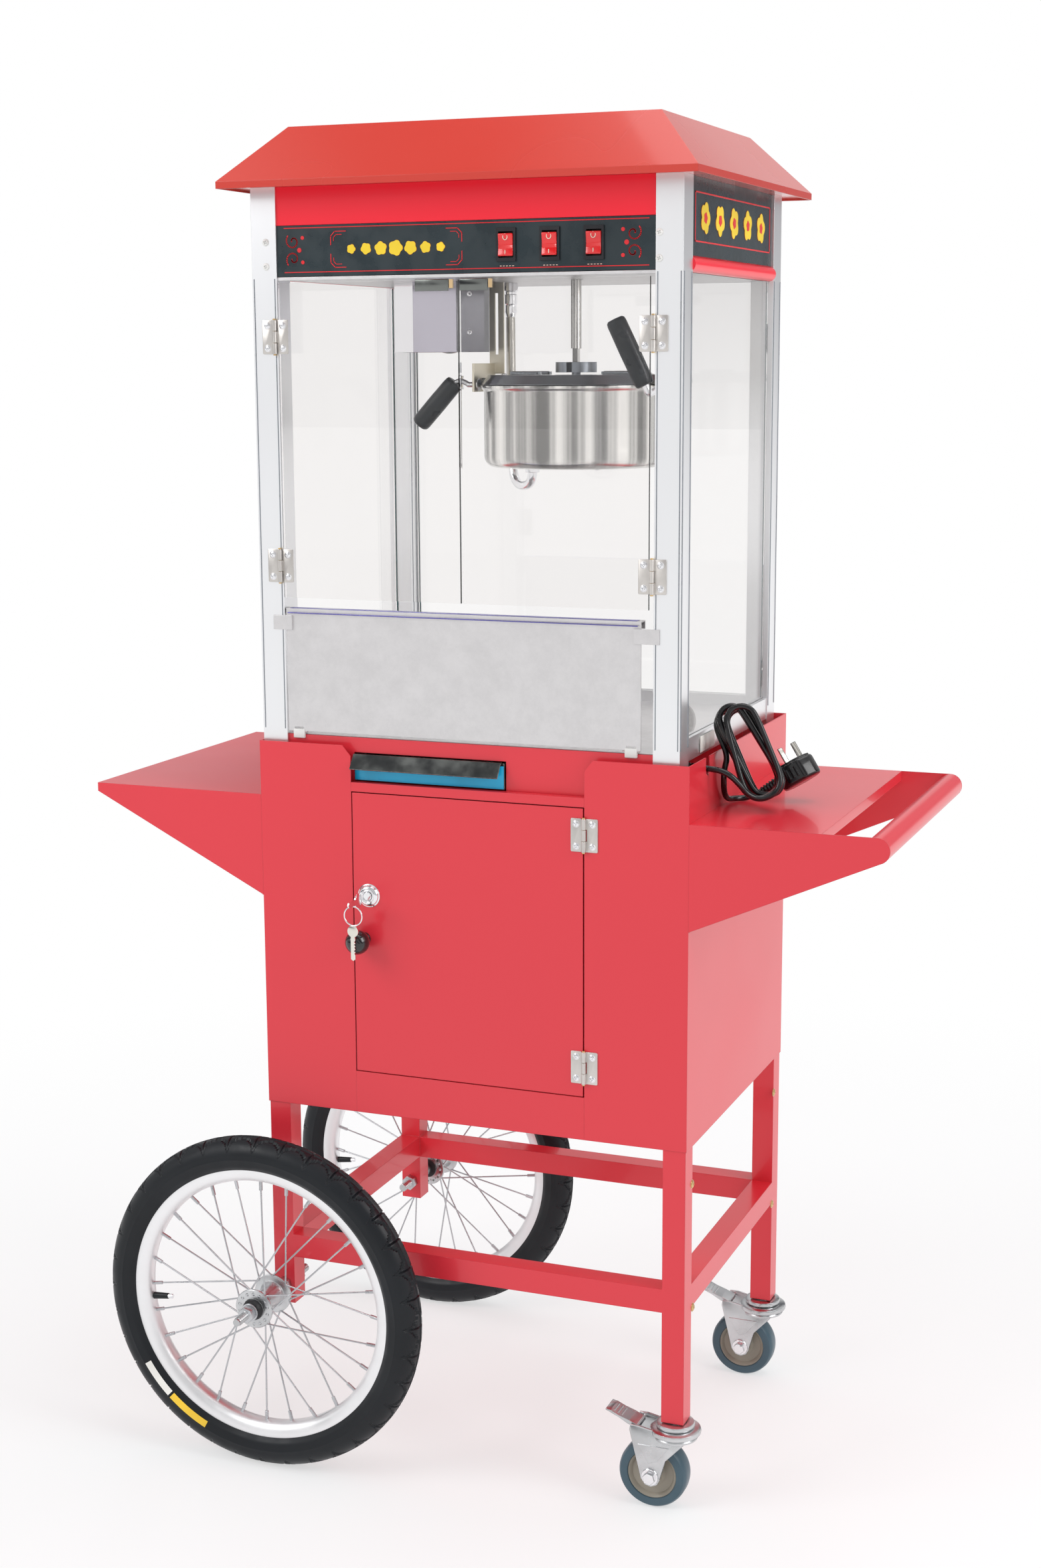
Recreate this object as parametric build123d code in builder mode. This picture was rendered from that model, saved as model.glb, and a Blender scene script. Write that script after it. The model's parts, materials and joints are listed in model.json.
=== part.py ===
from build123d import *
import math
import os

# Popcorn machine on a wheeled cart, millimetres. +X points to the push handle, the serving
# doors face -Y, +Z is up, and z = 0 is the floor under the middle of the cart.

# Cart cabinet
cabinet_width = 511.0
cabinet_depth = 395.0
cabinet_bottom = 426.0
cabinet_top = 854.0
sheet = 1.2
side_x = cabinet_width / 2
front_y = -cabinet_depth / 2
deck_top = 811.0
deck_thickness = 1.5
cord_slot_width = 14.0

# Cart door and the bands round it
door_left = -141.5
door_right = 136.6
door_bottom = 475.0
door_top = 802.0
door_gap = 1.2
door_fold = 12.0
band_fold = 9.0
return_edge = door_right + 0.4
cutout_bottom = 812.5
cutout_chamfer = 10.0
hinge_length = 37.0
door_pin_x = 137.3
door_hinge_heights = (771.5, 509.8)
lock_x = -121.5
lock_z = 683.5
knob_x = -128.0
knob_z = 633.0
knob_radius = 14.0

# Undercarriage
leg_size = 26.0
leg_wall = 1.5
right_leg_bottom = 106.0
left_leg_bottom = 177.5
rail_top = 263.5
rail_height = 27.5
leg_x = side_x - sheet - leg_size / 2
leg_y = -front_y - sheet - leg_size / 2
leg_top = deck_top - deck_thickness

# Side shelves and push handle
shelf_top = 791.5
shelf_sheet = 1.5
shelf_drop = 118.0
left_shelf_reach = 216.0
right_shelf_reach = 143.5
handle_reach = 202.0
handle_radius = 14.0
shelf_lip = 10.0

# Spoked wheels
tyre_radius = 200.0
tyre_section = 21.0
rim_radius = 164.0
rim_depth = 15.0
rim_width = 24.0
wheel_y = 250.0
wheel_axis_z = 200.0
hub_flange_radius = 22.0
hub_half_length = 25.0
axle_radius = 5.0
axle_end_y = 317.0
running_gap = 0.06
spoke_count = 28
spoke_radius = 1.1

# Casters
caster_radius = 40.0
caster_width = 27.0
caster_offset = 24.0
raceway_radius = 29.0
fork_half_gap = 16.0
fork_plate = 2.5
pedal_pivot_z = 96.0
pedal_pin_radius = 1.5

# Popper case
case_left = -253.5
case_right = 242.0
case_front = -190.0
case_back = 190.0
post_width = 30.0
post_depth = 32.0
post_top = 1463.5
header_bottom = 1368.0
panel_top = 1422.5
ceiling_top = 1367.5
ceiling_bottom = 1366.0
bay_left = case_left + post_width
bay_right = case_right - post_width
base_top = 862.0
rail_low = 852.0
rail_high = 877.0
glass = 4.0
rail_thickness = 14.0
groove_depth = 9.0

# Roof
roof_centre_x = -5.5
roof_centre_y = 4.0
eave_half_x = 272.5
eave_half_y = 227.0
crown_half_x = 214.0
crown_half_y = 166.0
eave_low = 1461.0
eave_high = 1468.5
roof_top = 1529.0

# Serving doors and the serving panel below them
glass_bottom = 1017.0
glass_top = 1361.5
meeting_x = -7.5
left_pin_x = -226.5
right_pin_x = 210.5
glass_hinge_heights = (1303.5, 1052.5)
knuckle_radius = 2.6
pin_radius = 1.2
leaf = 1.2
leaf_width = 13.0
panel_left = -222.0
panel_right = 198.0
panel_low = 866.0
panel_high = 1005.0
panel_pivot_y = -187.5
panel_pin_radius = 1.4
foot_centres = (-209.0, 187.0)
foot_width = 10.0

# Kettle
kettle_x = 56.5
pot_radius = 105.0
pot_bottom = 1158.0
pot_top = 1250.0
pot_wall = 1.5
pot_rim = 109.0
lid_top = 1261.0
bridge_half = 15.6
lid_gap = 0.6
trunnion_z = 1254.0
trunnion_radius = 3.8
hub_radius = 23.5
hub_low = 1263.5
hub_high = 1275.0
blade_thickness = 6.0
blade_width = 8.0
blade_low = 1270.0
grip_radius = 11.0
shaft_radius = 6.0
stirrer_radius = 5.0
shaft_top = 1396.0

# Lamp over the corn
shade_bottom = 1287.0
bulb_centre = (-106.0, 16.0)
bulb_radius = 26.0

# Controls on the header panel
rocker_centres = (46.5, 95.5, 144.5)
rocker_z = 1396.5
bezel_width = 22.0
bezel_height = 34.5
rocker_names = ("rocker_left", "rocker_middle", "rocker_right")

# Crumb drawer
drawer_left = -140.3
drawer_right = 41.0
drawer_low = 814.0
drawer_high = 843.0
drawer_depth = 250.0

# Mains cord: free stretches, and the hank that leans on the case
cord_radius = 3.3
cord_exit_y = -131.0
cord_exit_z = 841.0
gland_end_x = 247.0
lead_points = [
    (247.0, -131.0, 841.0),
    (264.0, -131.0, 841.0),
    (279.0, -130.0, 836.0),
    (290.0, -126.5, 825.0),
    (297.5, -121.0, 813.0),
    (309.0, -115.0, 807.0),
]
tail_points = [
    (292.0, -42.0, 802.5),
    (278.4, -47.1, 795.0),
    (265.6, -56.2, 795.4),
    (260.6, -70.2, 796.6),
    (260.4, -82.5, 804.8),
    (261.3, -89.5, 818.0),
    (262.0, -90.0, 833.5),
    (265.0, -86.0, 849.0),
]
hank_low = Vector(317.3, -96.0, 799.2)
hank_high = Vector(269.8, -84.0, 906.7)
hank_width = 52.0
hank_thickness = 32.0
hank_normal = Vector(-0.33, 0.91, -0.25)
plug_axis = Vector(0.8, 0.3, 0.48)
prong_axis = Vector(-0.55, 0.15, 0.82)
plug_size = (46.0, 36.0, 26.0)
relief_length = 22.0

all_min = (Align.MIN, Align.MIN, Align.MIN)
on_base = (Align.CENTER, Align.CENTER, Align.MIN)


def block(low, high, mode=Mode.ADD):
    """Add or cut a box between two opposite corners."""
    with Locations(tuple(low)):
        Box(*[b - a for a, b in zip(low, high)], align=all_min, mode=mode)


def rod(start, end, radius, mode=Mode.ADD):
    """Add or cut a round bar between two points."""
    axis = Vector(end) - Vector(start)
    with Locations(Plane(origin=start, z_dir=axis).location):
        Cylinder(radius, axis.length, align=on_base, mode=mode)


def plate(plane, points, thickness, mode=Mode.ADD):
    """Add or cut a flat plate with a straight-sided outline."""
    with BuildSketch(plane) as outline:
        with BuildLine():
            Polyline(*points, close=True)
        make_face()
    extrude(to_extrude=outline.sketch, amount=thickness, mode=mode)


def save(piece, name):
    """Label a finished piece and write its STEP file."""
    piece.part.label = name
    export_step(piece.part, f"parts/{name}.step")


def make_lower_frame():
    """Four square legs, the rails between them, and the caster sockets."""
    with BuildPart() as lower_frame:
        for side in (-1, 1):
            leg_bottom = left_leg_bottom if side < 0 else right_leg_bottom
            height = leg_top - leg_bottom
            inner = leg_size - 2 * leg_wall
            for end in (-1, 1):
                with Locations((side * leg_x, end * leg_y, leg_bottom)):
                    Box(leg_size, leg_size, height, align=on_base)
                    Box(inner, inner, height, align=on_base, mode=Mode.SUBTRACT)
                    if side > 0:
                        Box(inner, inner, 30, align=on_base)
                        Cylinder(6 + running_gap, 30, align=on_base, mode=Mode.SUBTRACT)
        inner_x = leg_x - leg_size / 2
        inner_y = leg_y - leg_size / 2
        rail_low_z = rail_top - rail_height
        for end in (-1, 1):
            rail_y = end * leg_y
            low = (-inner_x, rail_y - leg_size / 2, rail_low_z)
            block(low, (inner_x, rail_y + leg_size / 2, rail_top))
            rail_x = end * leg_x
            low = (rail_x - leg_size / 2, -inner_y, rail_low_z)
            block(low, (rail_x + leg_size / 2, inner_y, rail_top))
            hole = axle_radius + running_gap
            rod((-leg_x, end * (inner_y - 1), wheel_axis_z),
                (-leg_x, end * (leg_y + leg_size), wheel_axis_z), hole, Mode.SUBTRACT)
    save(lower_frame, "lower_frame")


def make_cabinet():
    """Bent sheet sides with front returns, the back, the bands round the door and two decks."""
    inner_x = side_x - sheet
    with BuildPart() as left:
        block((-side_x, front_y, cabinet_bottom), (-inner_x, -front_y, cabinet_top))
        face = Plane(origin=(0, front_y + sheet, 0), x_dir=(1, 0, 0), z_dir=(0, -1, 0))
        outline = [(-inner_x, cabinet_bottom), (door_left, cabinet_bottom),
                   (door_left, cabinet_top - cutout_chamfer - 2),
                   (door_left - cutout_chamfer, cabinet_top), (-inner_x, cabinet_top)]
        plate(face, outline, sheet)
    save(left, "cabinet_left_panel")
    with BuildPart() as right:
        block((inner_x, front_y, cabinet_bottom), (side_x, -front_y, cabinet_top))
        outline = [(inner_x, cabinet_bottom), (return_edge, cabinet_bottom),
                   (return_edge, cabinet_top - cutout_chamfer - 2),
                   (door_right + cutout_chamfer, cabinet_top), (inner_x, cabinet_top)]
        plate(face, outline, sheet)
        slot_low = cord_exit_z
        half = cord_slot_width / 2
        block((inner_x - 1, cord_exit_y - half, slot_low),
              (side_x + 1, cord_exit_y + half, cabinet_top + 1), Mode.SUBTRACT)
        rod((inner_x - 1, cord_exit_y, slot_low), (side_x + 1, cord_exit_y, slot_low),
            half, Mode.SUBTRACT)
    save(right, "cabinet_right_panel")
    with BuildPart() as back:
        block((-inner_x, -front_y - sheet, cabinet_bottom), (inner_x, -front_y, cabinet_top))
    save(back, "cabinet_back_panel")
    with BuildPart() as bands:
        for low_z, high_z, fold in ((door_top, cutout_bottom, band_fold),
                                    (cabinet_bottom, door_bottom, door_fold)):
            block((door_left, front_y, low_z), (return_edge, front_y + sheet, high_z))
            block((door_left, front_y, high_z - sheet), (return_edge, front_y + fold, high_z))
    save(bands, "cabinet_front_bands")
    with BuildPart() as decks:
        edge_x = inner_x
        edge_y = -front_y - sheet
        low_front = front_y + door_fold + 1
        block((-edge_x, low_front, cabinet_bottom + 8), (edge_x, edge_y, cabinet_bottom + 10))
        block((-edge_x, low_front, cabinet_bottom + 2), (edge_x, low_front + 2, cabinet_bottom + 8))
        for side in (-1, 1):
            for end in (-1, 1):
                with Locations((side * leg_x, end * leg_y, cabinet_bottom)):
                    Box(leg_size + 1, leg_size + 1, 20, align=on_base, mode=Mode.SUBTRACT)
        block((-edge_x, -edge_y, leg_top), (edge_x, edge_y, deck_top))
    save(decks, "cabinet_decks")


def make_left_shelf():
    """Fixed shelf with two triangular gussets and a small folded edge."""
    tip_x = -side_x - left_shelf_reach
    under = shelf_top - shelf_sheet
    with BuildPart() as shelf:
        block((tip_x, front_y, under), (-side_x, -front_y, shelf_top))
        block((tip_x, front_y, shelf_top - shelf_lip), (tip_x + shelf_sheet, -front_y, under))
        block((-side_x - shelf_sheet, front_y, shelf_top - shelf_drop), (-side_x, -front_y, under))
        for face_y in (front_y + shelf_sheet, -front_y):
            face = Plane(origin=(0, face_y, 0), x_dir=(1, 0, 0), z_dir=(0, -1, 0))
            outline = [(-side_x, under), (-side_x, shelf_top - shelf_drop),
                       (tip_x, shelf_top - shelf_lip), (tip_x, under)]
            plate(face, outline, shelf_sheet)
    save(shelf, "shelf_left")


def make_right_shelf():
    """Shelf that stops short of the push handle, so that a hand fits between them."""
    under = shelf_top - shelf_sheet
    plate_end = side_x + right_shelf_reach
    handle_x = side_x + handle_reach
    handle_z = shelf_top - handle_radius
    with BuildPart() as shelf:
        block((side_x, front_y, under), (plate_end, -front_y, shelf_top))
        block((plate_end - shelf_sheet, front_y, under - shelf_lip), (plate_end, -front_y, under))
        block((side_x, front_y, shelf_top - shelf_drop), (side_x + shelf_sheet, -front_y, under))
        for face_y in (front_y + shelf_sheet, -front_y):
            face = Plane(origin=(0, face_y, 0), x_dir=(1, 0, 0), z_dir=(0, -1, 0))
            outline = [(side_x, shelf_top), (side_x, shelf_top - shelf_drop),
                       (handle_x + 4, handle_z - handle_radius + 0.6), (handle_x, shelf_top)]
            plate(face, outline, shelf_sheet)
            rod((handle_x, face_y - shelf_sheet, handle_z), (handle_x, face_y, handle_z),
                handle_radius)
    save(shelf, "shelf_right")
    with BuildPart() as handle:
        tube_y = -front_y - shelf_sheet
        rod((handle_x, -tube_y, handle_z), (handle_x, tube_y, handle_z), handle_radius)
        rod((handle_x, -tube_y, handle_z), (handle_x, tube_y, handle_z), handle_radius - 2,
            Mode.SUBTRACT)
    save(handle, "push_handle")


def hex_nut(centre_y, length, side):
    """Add a hexagon nut with its face at the given place on a wheel axle."""
    plane = Plane(origin=(-leg_x, side * centre_y, wheel_axis_z), z_dir=(0, side, 0))
    with BuildSketch(plane) as flats:
        RegularPolygon(9.8, 6)
    extrude(to_extrude=flats.sketch, amount=length)


def make_wheel_axles():
    """Each wheel runs on its own bolt through a leg, with a spacer and three nuts."""
    inner_face = leg_y - leg_size / 2
    hub_inner = wheel_y - hub_half_length - 3
    hub_outer = wheel_y + hub_half_length + 9
    with BuildPart() as axles:
        for side in (-1, 1):
            rod((-leg_x, side * (inner_face - 14), wheel_axis_z),
                (-leg_x, side * axle_end_y, wheel_axis_z), axle_radius)
            hex_nut(inner_face - 9, 9, side)
            hex_nut(leg_y + leg_size / 2, 8, side)
            rod((-leg_x, side * (leg_y + leg_size / 2 + 8), wheel_axis_z),
                (-leg_x, side * (hub_inner - 0.4), wheel_axis_z), 7.5)
            rod((-leg_x, side * (hub_outer + 0.4), wheel_axis_z),
                (-leg_x, side * (hub_outer + 2.4), wheel_axis_z), 10)
            hex_nut(hub_outer + 2.4, 9, side)
    save(axles, "wheel_axles")


def make_spoked_wheel(side, name):
    """Rim, spokes and flanged hub of one wheel, and the tyre round it."""
    centre = (-leg_x, side * wheel_y, wheel_axis_z)
    plane = Plane(origin=centre, x_dir=(1, 0, 0), z_dir=(0, side, 0))
    hub_inner = -hub_half_length - 3
    hub_outer = hub_half_length + 9
    half_rim = rim_width / 2
    rim_inner = rim_radius - rim_depth
    section = Plane(origin=centre, x_dir=(1, 0, 0), z_dir=(0, 0, 1))
    axis = Axis(centre, (0, 1, 0))
    with BuildPart() as wheel:
        with BuildSketch(section) as profile:
            with BuildLine():
                Polyline((rim_inner, -5), (rim_inner + 5, -half_rim), (rim_radius, -half_rim),
                         (rim_radius, half_rim), (rim_inner + 5, half_rim), (rim_inner, 5),
                         close=True)
            make_face()
        revolve(axis=axis)
        with BuildSketch(section) as barrel:
            with BuildLine():
                low, high = sorted((side * hub_inner, side * hub_outer))
                Polyline((0, low), (10, low), (10, -hub_half_length), (hub_flange_radius, -hub_half_length),
                         (hub_flange_radius, 3 - hub_half_length), (13, 3 - hub_half_length),
                         (13, hub_half_length - 3), (hub_flange_radius, hub_half_length - 3),
                         (hub_flange_radius, hub_half_length), (10, hub_half_length), (10, high), (0, high),
                         close=True)
            make_face()
        revolve(axis=axis)
        for index in range(spoke_count):
            rim_angle = 360 * index / spoke_count
            lean = 52 if index % 4 < 2 else -52
            flange = hub_half_length - 1.5 if index % 2 else 1.5 - hub_half_length
            start = plane.from_local_coords(
                (18 * math.cos(math.radians(rim_angle + lean)),
                 18 * math.sin(math.radians(rim_angle + lean)), flange))
            stop = plane.from_local_coords(
                ((rim_inner + 3) * math.cos(math.radians(rim_angle)),
                 (rim_inner + 3) * math.sin(math.radians(rim_angle)), 0))
            rod(start, stop, spoke_radius)
        bore = axle_radius + running_gap
        rod(plane.from_local_coords((0, 0, hub_inner - 1)),
            plane.from_local_coords((0, 0, hub_outer + 1)), bore, Mode.SUBTRACT)
    save(wheel, f"spoked_wheel_{name}")
    with BuildPart() as tyre:
        with BuildSketch(section):
            with Locations((tyre_radius - tyre_section, 0)):
                Circle(tyre_section)
            with Locations((rim_radius + 0.1, 0)):
                Rectangle(40, 60, align=(Align.MAX, Align.CENTER), mode=Mode.SUBTRACT)
        revolve(axis=axis)
    save(tyre, f"tyre_{name}")


def make_caster(side, name):
    """Swivel fork with its stem and axle, the wheel it holds, and the brake pedal."""
    swivel = (leg_x, side * leg_y)
    wheel_x = leg_x - caster_offset
    pivot_x = wheel_x - 17
    ear_top = pedal_pivot_z + 3.5
    with BuildPart() as fork:
        rod((*swivel, right_leg_bottom - 1), (*swivel, right_leg_bottom + 24), 6)
        rod((*swivel, 90), (*swivel, 98), raceway_radius)
        rod((*swivel, 98), (*swivel, right_leg_bottom - 1), raceway_radius - 7)
        rod((*swivel, 84), (*swivel, 90), raceway_radius - 3)
        for end in (-1, 1):
            face_y = swivel[1] + end * (fork_half_gap + fork_plate / 2) + fork_plate / 2
            face = Plane(origin=(0, face_y, 0), x_dir=(1, 0, 0), z_dir=(0, -1, 0))
            outline = [(wheel_x - 11, caster_radius), (wheel_x - 15, 86), (pivot_x - 5, 94),
                       (pivot_x - 4, ear_top), (pivot_x + 4, ear_top), (pivot_x + 6, 94),
                       (leg_x + 18, 94), (leg_x + 14, 82), (wheel_x + 12, caster_radius)]
            plate(face, outline, fork_plate)
            rod((wheel_x, face_y - fork_plate, caster_radius), (wheel_x, face_y, caster_radius), 12)
            outer = swivel[1] + end * (fork_half_gap + fork_plate)
            rod((wheel_x, outer, caster_radius), (wheel_x, outer + end * 4, caster_radius), 6)
        rod((wheel_x, swivel[1] - fork_half_gap - 1, caster_radius),
            (wheel_x, swivel[1] + fork_half_gap + 1, caster_radius), 4)
        block((pivot_x + 6, swivel[1] - fork_half_gap - fork_plate, 91),
              (leg_x, swivel[1] + fork_half_gap + fork_plate, 94))
        rod((pivot_x, swivel[1] - 30, pedal_pivot_z), (pivot_x, swivel[1] + 30, pedal_pivot_z),
            pedal_pin_radius + running_gap, Mode.SUBTRACT)
    save(fork, f"caster_fork_{name}")
    with BuildPart() as roller:
        half = caster_width / 2
        section = Plane(origin=(wheel_x, swivel[1], caster_radius), x_dir=(1, 0, 0), z_dir=(0, 0, 1))
        with BuildSketch(section):
            with BuildLine():
                Polyline((4 + running_gap, -half - 1.5), (11, -half - 1.5), (11, -half + 2),
                         (caster_radius - 12, -half + 2), (caster_radius - 10, -half),
                         (caster_radius - 4, -half), (caster_radius, -half + 5),
                         (caster_radius, half - 5), (caster_radius - 4, half),
                         (caster_radius - 10, half), (caster_radius - 12, half - 2),
                         (11, half - 2), (11, half + 1.5), (4 + running_gap, half + 1.5),
                         close=True)
            make_face()
        revolve(axis=Axis((wheel_x, swivel[1], caster_radius), (0, 1, 0)))
    save(roller, f"caster_wheel_{name}")
    with BuildPart() as pedal:
        face = Plane(origin=(0, swivel[1] + 13, 0), x_dir=(1, 0, 0), z_dir=(0, -1, 0))
        outline = [(pivot_x + 2, pedal_pivot_z - 1), (pivot_x + 2, pedal_pivot_z + 1.4),
                   (pivot_x - 14, pedal_pivot_z + 8.4), (pivot_x - 30, pedal_pivot_z + 15),
                   (pivot_x - 38, pedal_pivot_z + 10), (pivot_x - 36.5, pedal_pivot_z + 8.5),
                   (pivot_x - 30, pedal_pivot_z + 12.5), (pivot_x - 14, pedal_pivot_z + 6)]
        plate(face, outline, 26)
        rod((pivot_x, swivel[1] - 18, pedal_pivot_z), (pivot_x, swivel[1] + 18, pedal_pivot_z),
            pedal_pin_radius)
    save(pedal, f"brake_pedal_{name}")


def hinge_leaf(pin_x, face_y, side, centre_z, fixed):
    """Half of a butt hinge on a front face: the fixed half holds the pin, the other turns on it."""
    third = hinge_length / 3
    pin_y = face_y - knuckle_radius
    near = pin_x + side * (knuckle_radius + 0.4)
    far = pin_x + side * (knuckle_radius + leaf_width)
    middle = (near + far) / 2
    plate_x = sorted((near, far))
    web_x = sorted((pin_x, near))
    block((plate_x[0], face_y - leaf, centre_z - hinge_length / 2),
          (plate_x[1], face_y, centre_z + hinge_length / 2))
    if fixed:
        zones = ((-1.5 * third, -0.5 * third - 0.3), (0.5 * third + 0.3, 1.5 * third))
    else:
        zones = ((-0.5 * third, 0.5 * third),)
    for low, high in zones:
        block((web_x[0], face_y - leaf, centre_z + low), (web_x[1], face_y, centre_z + high))
        rod((pin_x, pin_y, centre_z + low), (pin_x, pin_y, centre_z + high), knuckle_radius)
    pin_low = (pin_x, pin_y, centre_z - 1.5 * third - 1)
    pin_high = (pin_x, pin_y, centre_z + 1.5 * third + 1)
    if fixed:
        rod(pin_low, pin_high, pin_radius)
    else:
        rod(pin_low, pin_high, pin_radius + running_gap, Mode.SUBTRACT)
    for offset in (-third, third):
        screw_z = centre_z + offset
        rod((middle, face_y - leaf, screw_z), (middle, face_y - leaf - 1.2, screw_z), 3)


def make_fixed_hinge_leaves():
    """The hinge halves with their pins on the case posts and on the cabinet."""
    with BuildPart() as leaves:
        for centre_z in glass_hinge_heights:
            hinge_leaf(left_pin_x, case_front, -1, centre_z, True)
            hinge_leaf(right_pin_x, case_front, 1, centre_z, True)
        for centre_z in door_hinge_heights:
            hinge_leaf(door_pin_x, front_y, 1, centre_z, True)
    save(leaves, "fixed_hinge_leaves")


def make_cabinet_door():
    """Folded sheet door, its hinge halves, knob and lock, and the key in the lock."""
    left = door_left + door_gap
    right = door_right - door_gap
    low = door_bottom + door_gap
    high = door_top - door_gap
    back_y = front_y + door_fold
    with BuildPart() as door:
        block((left, front_y, low), (right, back_y, high))
        block((left + sheet, front_y + sheet, low + sheet),
              (right - sheet, back_y + 1, high - sheet), Mode.SUBTRACT)
        rod((lock_x, front_y - 1, lock_z), (lock_x, front_y + 3, lock_z), 9.5, Mode.SUBTRACT)
    save(door, "cabinet_door")
    with BuildPart() as fittings:
        for centre_z in door_hinge_heights:
            hinge_leaf(door_pin_x, front_y, -1, centre_z, False)
        with Locations((knob_x, front_y - 19, knob_z)):
            Sphere(knob_radius)
        rod((knob_x, front_y, knob_z), (knob_x, front_y - 12, knob_z), 6)
        rod((lock_x, front_y, lock_z), (lock_x, front_y - 4, lock_z), 12)
        rod((lock_x, front_y, lock_z), (lock_x, front_y + 20, lock_z), 9.3)
        rod((lock_x, front_y - 5, lock_z), (lock_x, front_y + 14, lock_z), 5 + running_gap, Mode.SUBTRACT)
    save(fittings, "cabinet_door_fittings")
    with BuildPart() as key:
        rod((lock_x, front_y - 4.6, lock_z), (lock_x, front_y + 13, lock_z), 5)
        block((lock_x - 1, front_y - 24, lock_z - 3.5), (lock_x + 1, front_y - 4, lock_z + 3.5))
        block((lock_x - 1, front_y - 38, lock_z - 9), (lock_x + 1, front_y - 22, lock_z + 9))
        ring_y = front_y - 36
        ring_z = lock_z - 16
        with Locations(Location((lock_x - 3, ring_y, ring_z), (90, 0, 0))):
            Torus(11, 1)
        block((lock_x - 9, ring_y - 1, ring_z - 27), (lock_x + 3, ring_y + 1, ring_z - 7))
        block((lock_x - 6, ring_y - 1, ring_z - 52), (lock_x, ring_y + 1, ring_z - 26))
    save(key, "door_key")


def make_case_frame():
    """Four corner posts and the bottom rails that hold the glass."""
    front = case_front + post_depth
    back = case_back - post_depth
    groove = glass + 0.6
    with BuildPart() as frame:
        for left in (case_left, case_right - post_width):
            for low_y in (case_front, back):
                block((left, low_y, deck_top), (left + post_width, low_y + post_depth, post_top))
                block((left + 2, low_y + 2, deck_top - 1),
                      (left + post_width - 2, low_y + post_depth - 2, post_top + 1), Mode.SUBTRACT)
        for low_x in (case_left + 1, case_right - 1 - rail_thickness):
            block((low_x, front, rail_low), (low_x + rail_thickness, back, rail_high))
            middle = low_x + rail_thickness / 2
            block((middle - groove / 2, front, rail_high - groove_depth),
                  (middle + groove / 2, back, rail_high + 1), Mode.SUBTRACT)
        low_y = case_back - 1 - rail_thickness
        block((bay_left, low_y, rail_low), (bay_right, low_y + rail_thickness, rail_high))
        middle = low_y + rail_thickness / 2
        block((bay_left, middle - groove / 2, rail_high - groove_depth),
              (bay_right, middle + groove / 2, rail_high + 1), Mode.SUBTRACT)
    save(frame, "case_frame")


def make_glass_panes():
    """The three fixed panes, standing in the grooves of the rails."""
    front = case_front + post_depth + 0.5
    back = case_back - post_depth - 0.5
    low = rail_high - groove_depth
    high = ceiling_bottom - 0.5
    with BuildPart() as panes:
        for low_x in (case_left + 1, case_right - 1 - rail_thickness):
            middle = low_x + rail_thickness / 2
            block((middle - glass / 2, front, low), (middle + glass / 2, back, high))
        middle = case_back - 1 - rail_thickness / 2
        block((bay_left + 0.5, middle - glass / 2, low), (bay_right - 0.5, middle + glass / 2, high))
    save(panes, "glass_panes")


def make_header():
    """The sheet box over the glass, its dark panels, the ceiling and the switch bezels."""
    front = case_front + post_depth
    back = case_back - post_depth
    skin_y = case_front + 2
    half_width = bezel_width / 2
    half_height = bezel_height / 2
    with BuildPart() as header:
        block((bay_left, skin_y, panel_top), (bay_right, skin_y + sheet, post_top))
        block((bay_left, case_back - 3, header_bottom), (bay_right, case_back - 3 + sheet, post_top))
        for skin_x, side in ((case_right - 5, 1), (case_left + 5, -1)):
            low_x, high_x = sorted((skin_x, skin_x - side * sheet))
            block((low_x, front, header_bottom), (high_x, back, post_top))
            rod((skin_x, front, header_bottom + 6), (skin_x, back, header_bottom + 6), 8)
    save(header, "header_case")
    with BuildPart() as signs:
        block((bay_left, skin_y, header_bottom), (bay_right, skin_y + 1.5, panel_top - 0.3))
        for centre_x in rocker_centres:
            block((centre_x - half_width + 2, skin_y - 1, rocker_z - half_height + 3),
                  (centre_x + half_width - 2, skin_y + 3, rocker_z + half_height - 3), Mode.SUBTRACT)
        for skin_x, side in ((case_right - 5, 1), (case_left + 5, -1)):
            low_x, high_x = sorted((skin_x, skin_x + side * 1.5))
            block((low_x, front, header_bottom + 15), (high_x, back, post_top))
    save(signs, "sign_panels")
    with BuildPart() as ceiling:
        block((bay_left, skin_y, ceiling_bottom), (bay_right, case_back - 3, ceiling_top))
        block((case_left + rail_thickness, front, ceiling_bottom),
              (case_right - rail_thickness, back, ceiling_top))
        block((bay_left, skin_y, ceiling_bottom - 2), (bay_right, skin_y + 1.5, ceiling_bottom))
        rod((kettle_x, 0, ceiling_bottom - 1), (kettle_x, 0, ceiling_top + 1), shaft_radius + 2,
            Mode.SUBTRACT)
    save(ceiling, "ceiling_plate")
    with BuildPart() as bezels:
        for centre_x in rocker_centres:
            block((centre_x - half_width, skin_y - 2, rocker_z - half_height),
                  (centre_x + half_width, skin_y, rocker_z + half_height))
            block((centre_x - half_width + 2.1, skin_y, rocker_z - half_height + 3.1),
                  (centre_x + half_width - 2.1, skin_y + 12, rocker_z + half_height - 3.1))
            block((centre_x - 8.4, skin_y - 3, rocker_z - 13.4),
                  (centre_x + 8.4, skin_y + 10, rocker_z + 13.4), Mode.SUBTRACT)
    save(bezels, "switch_bezels")


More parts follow.
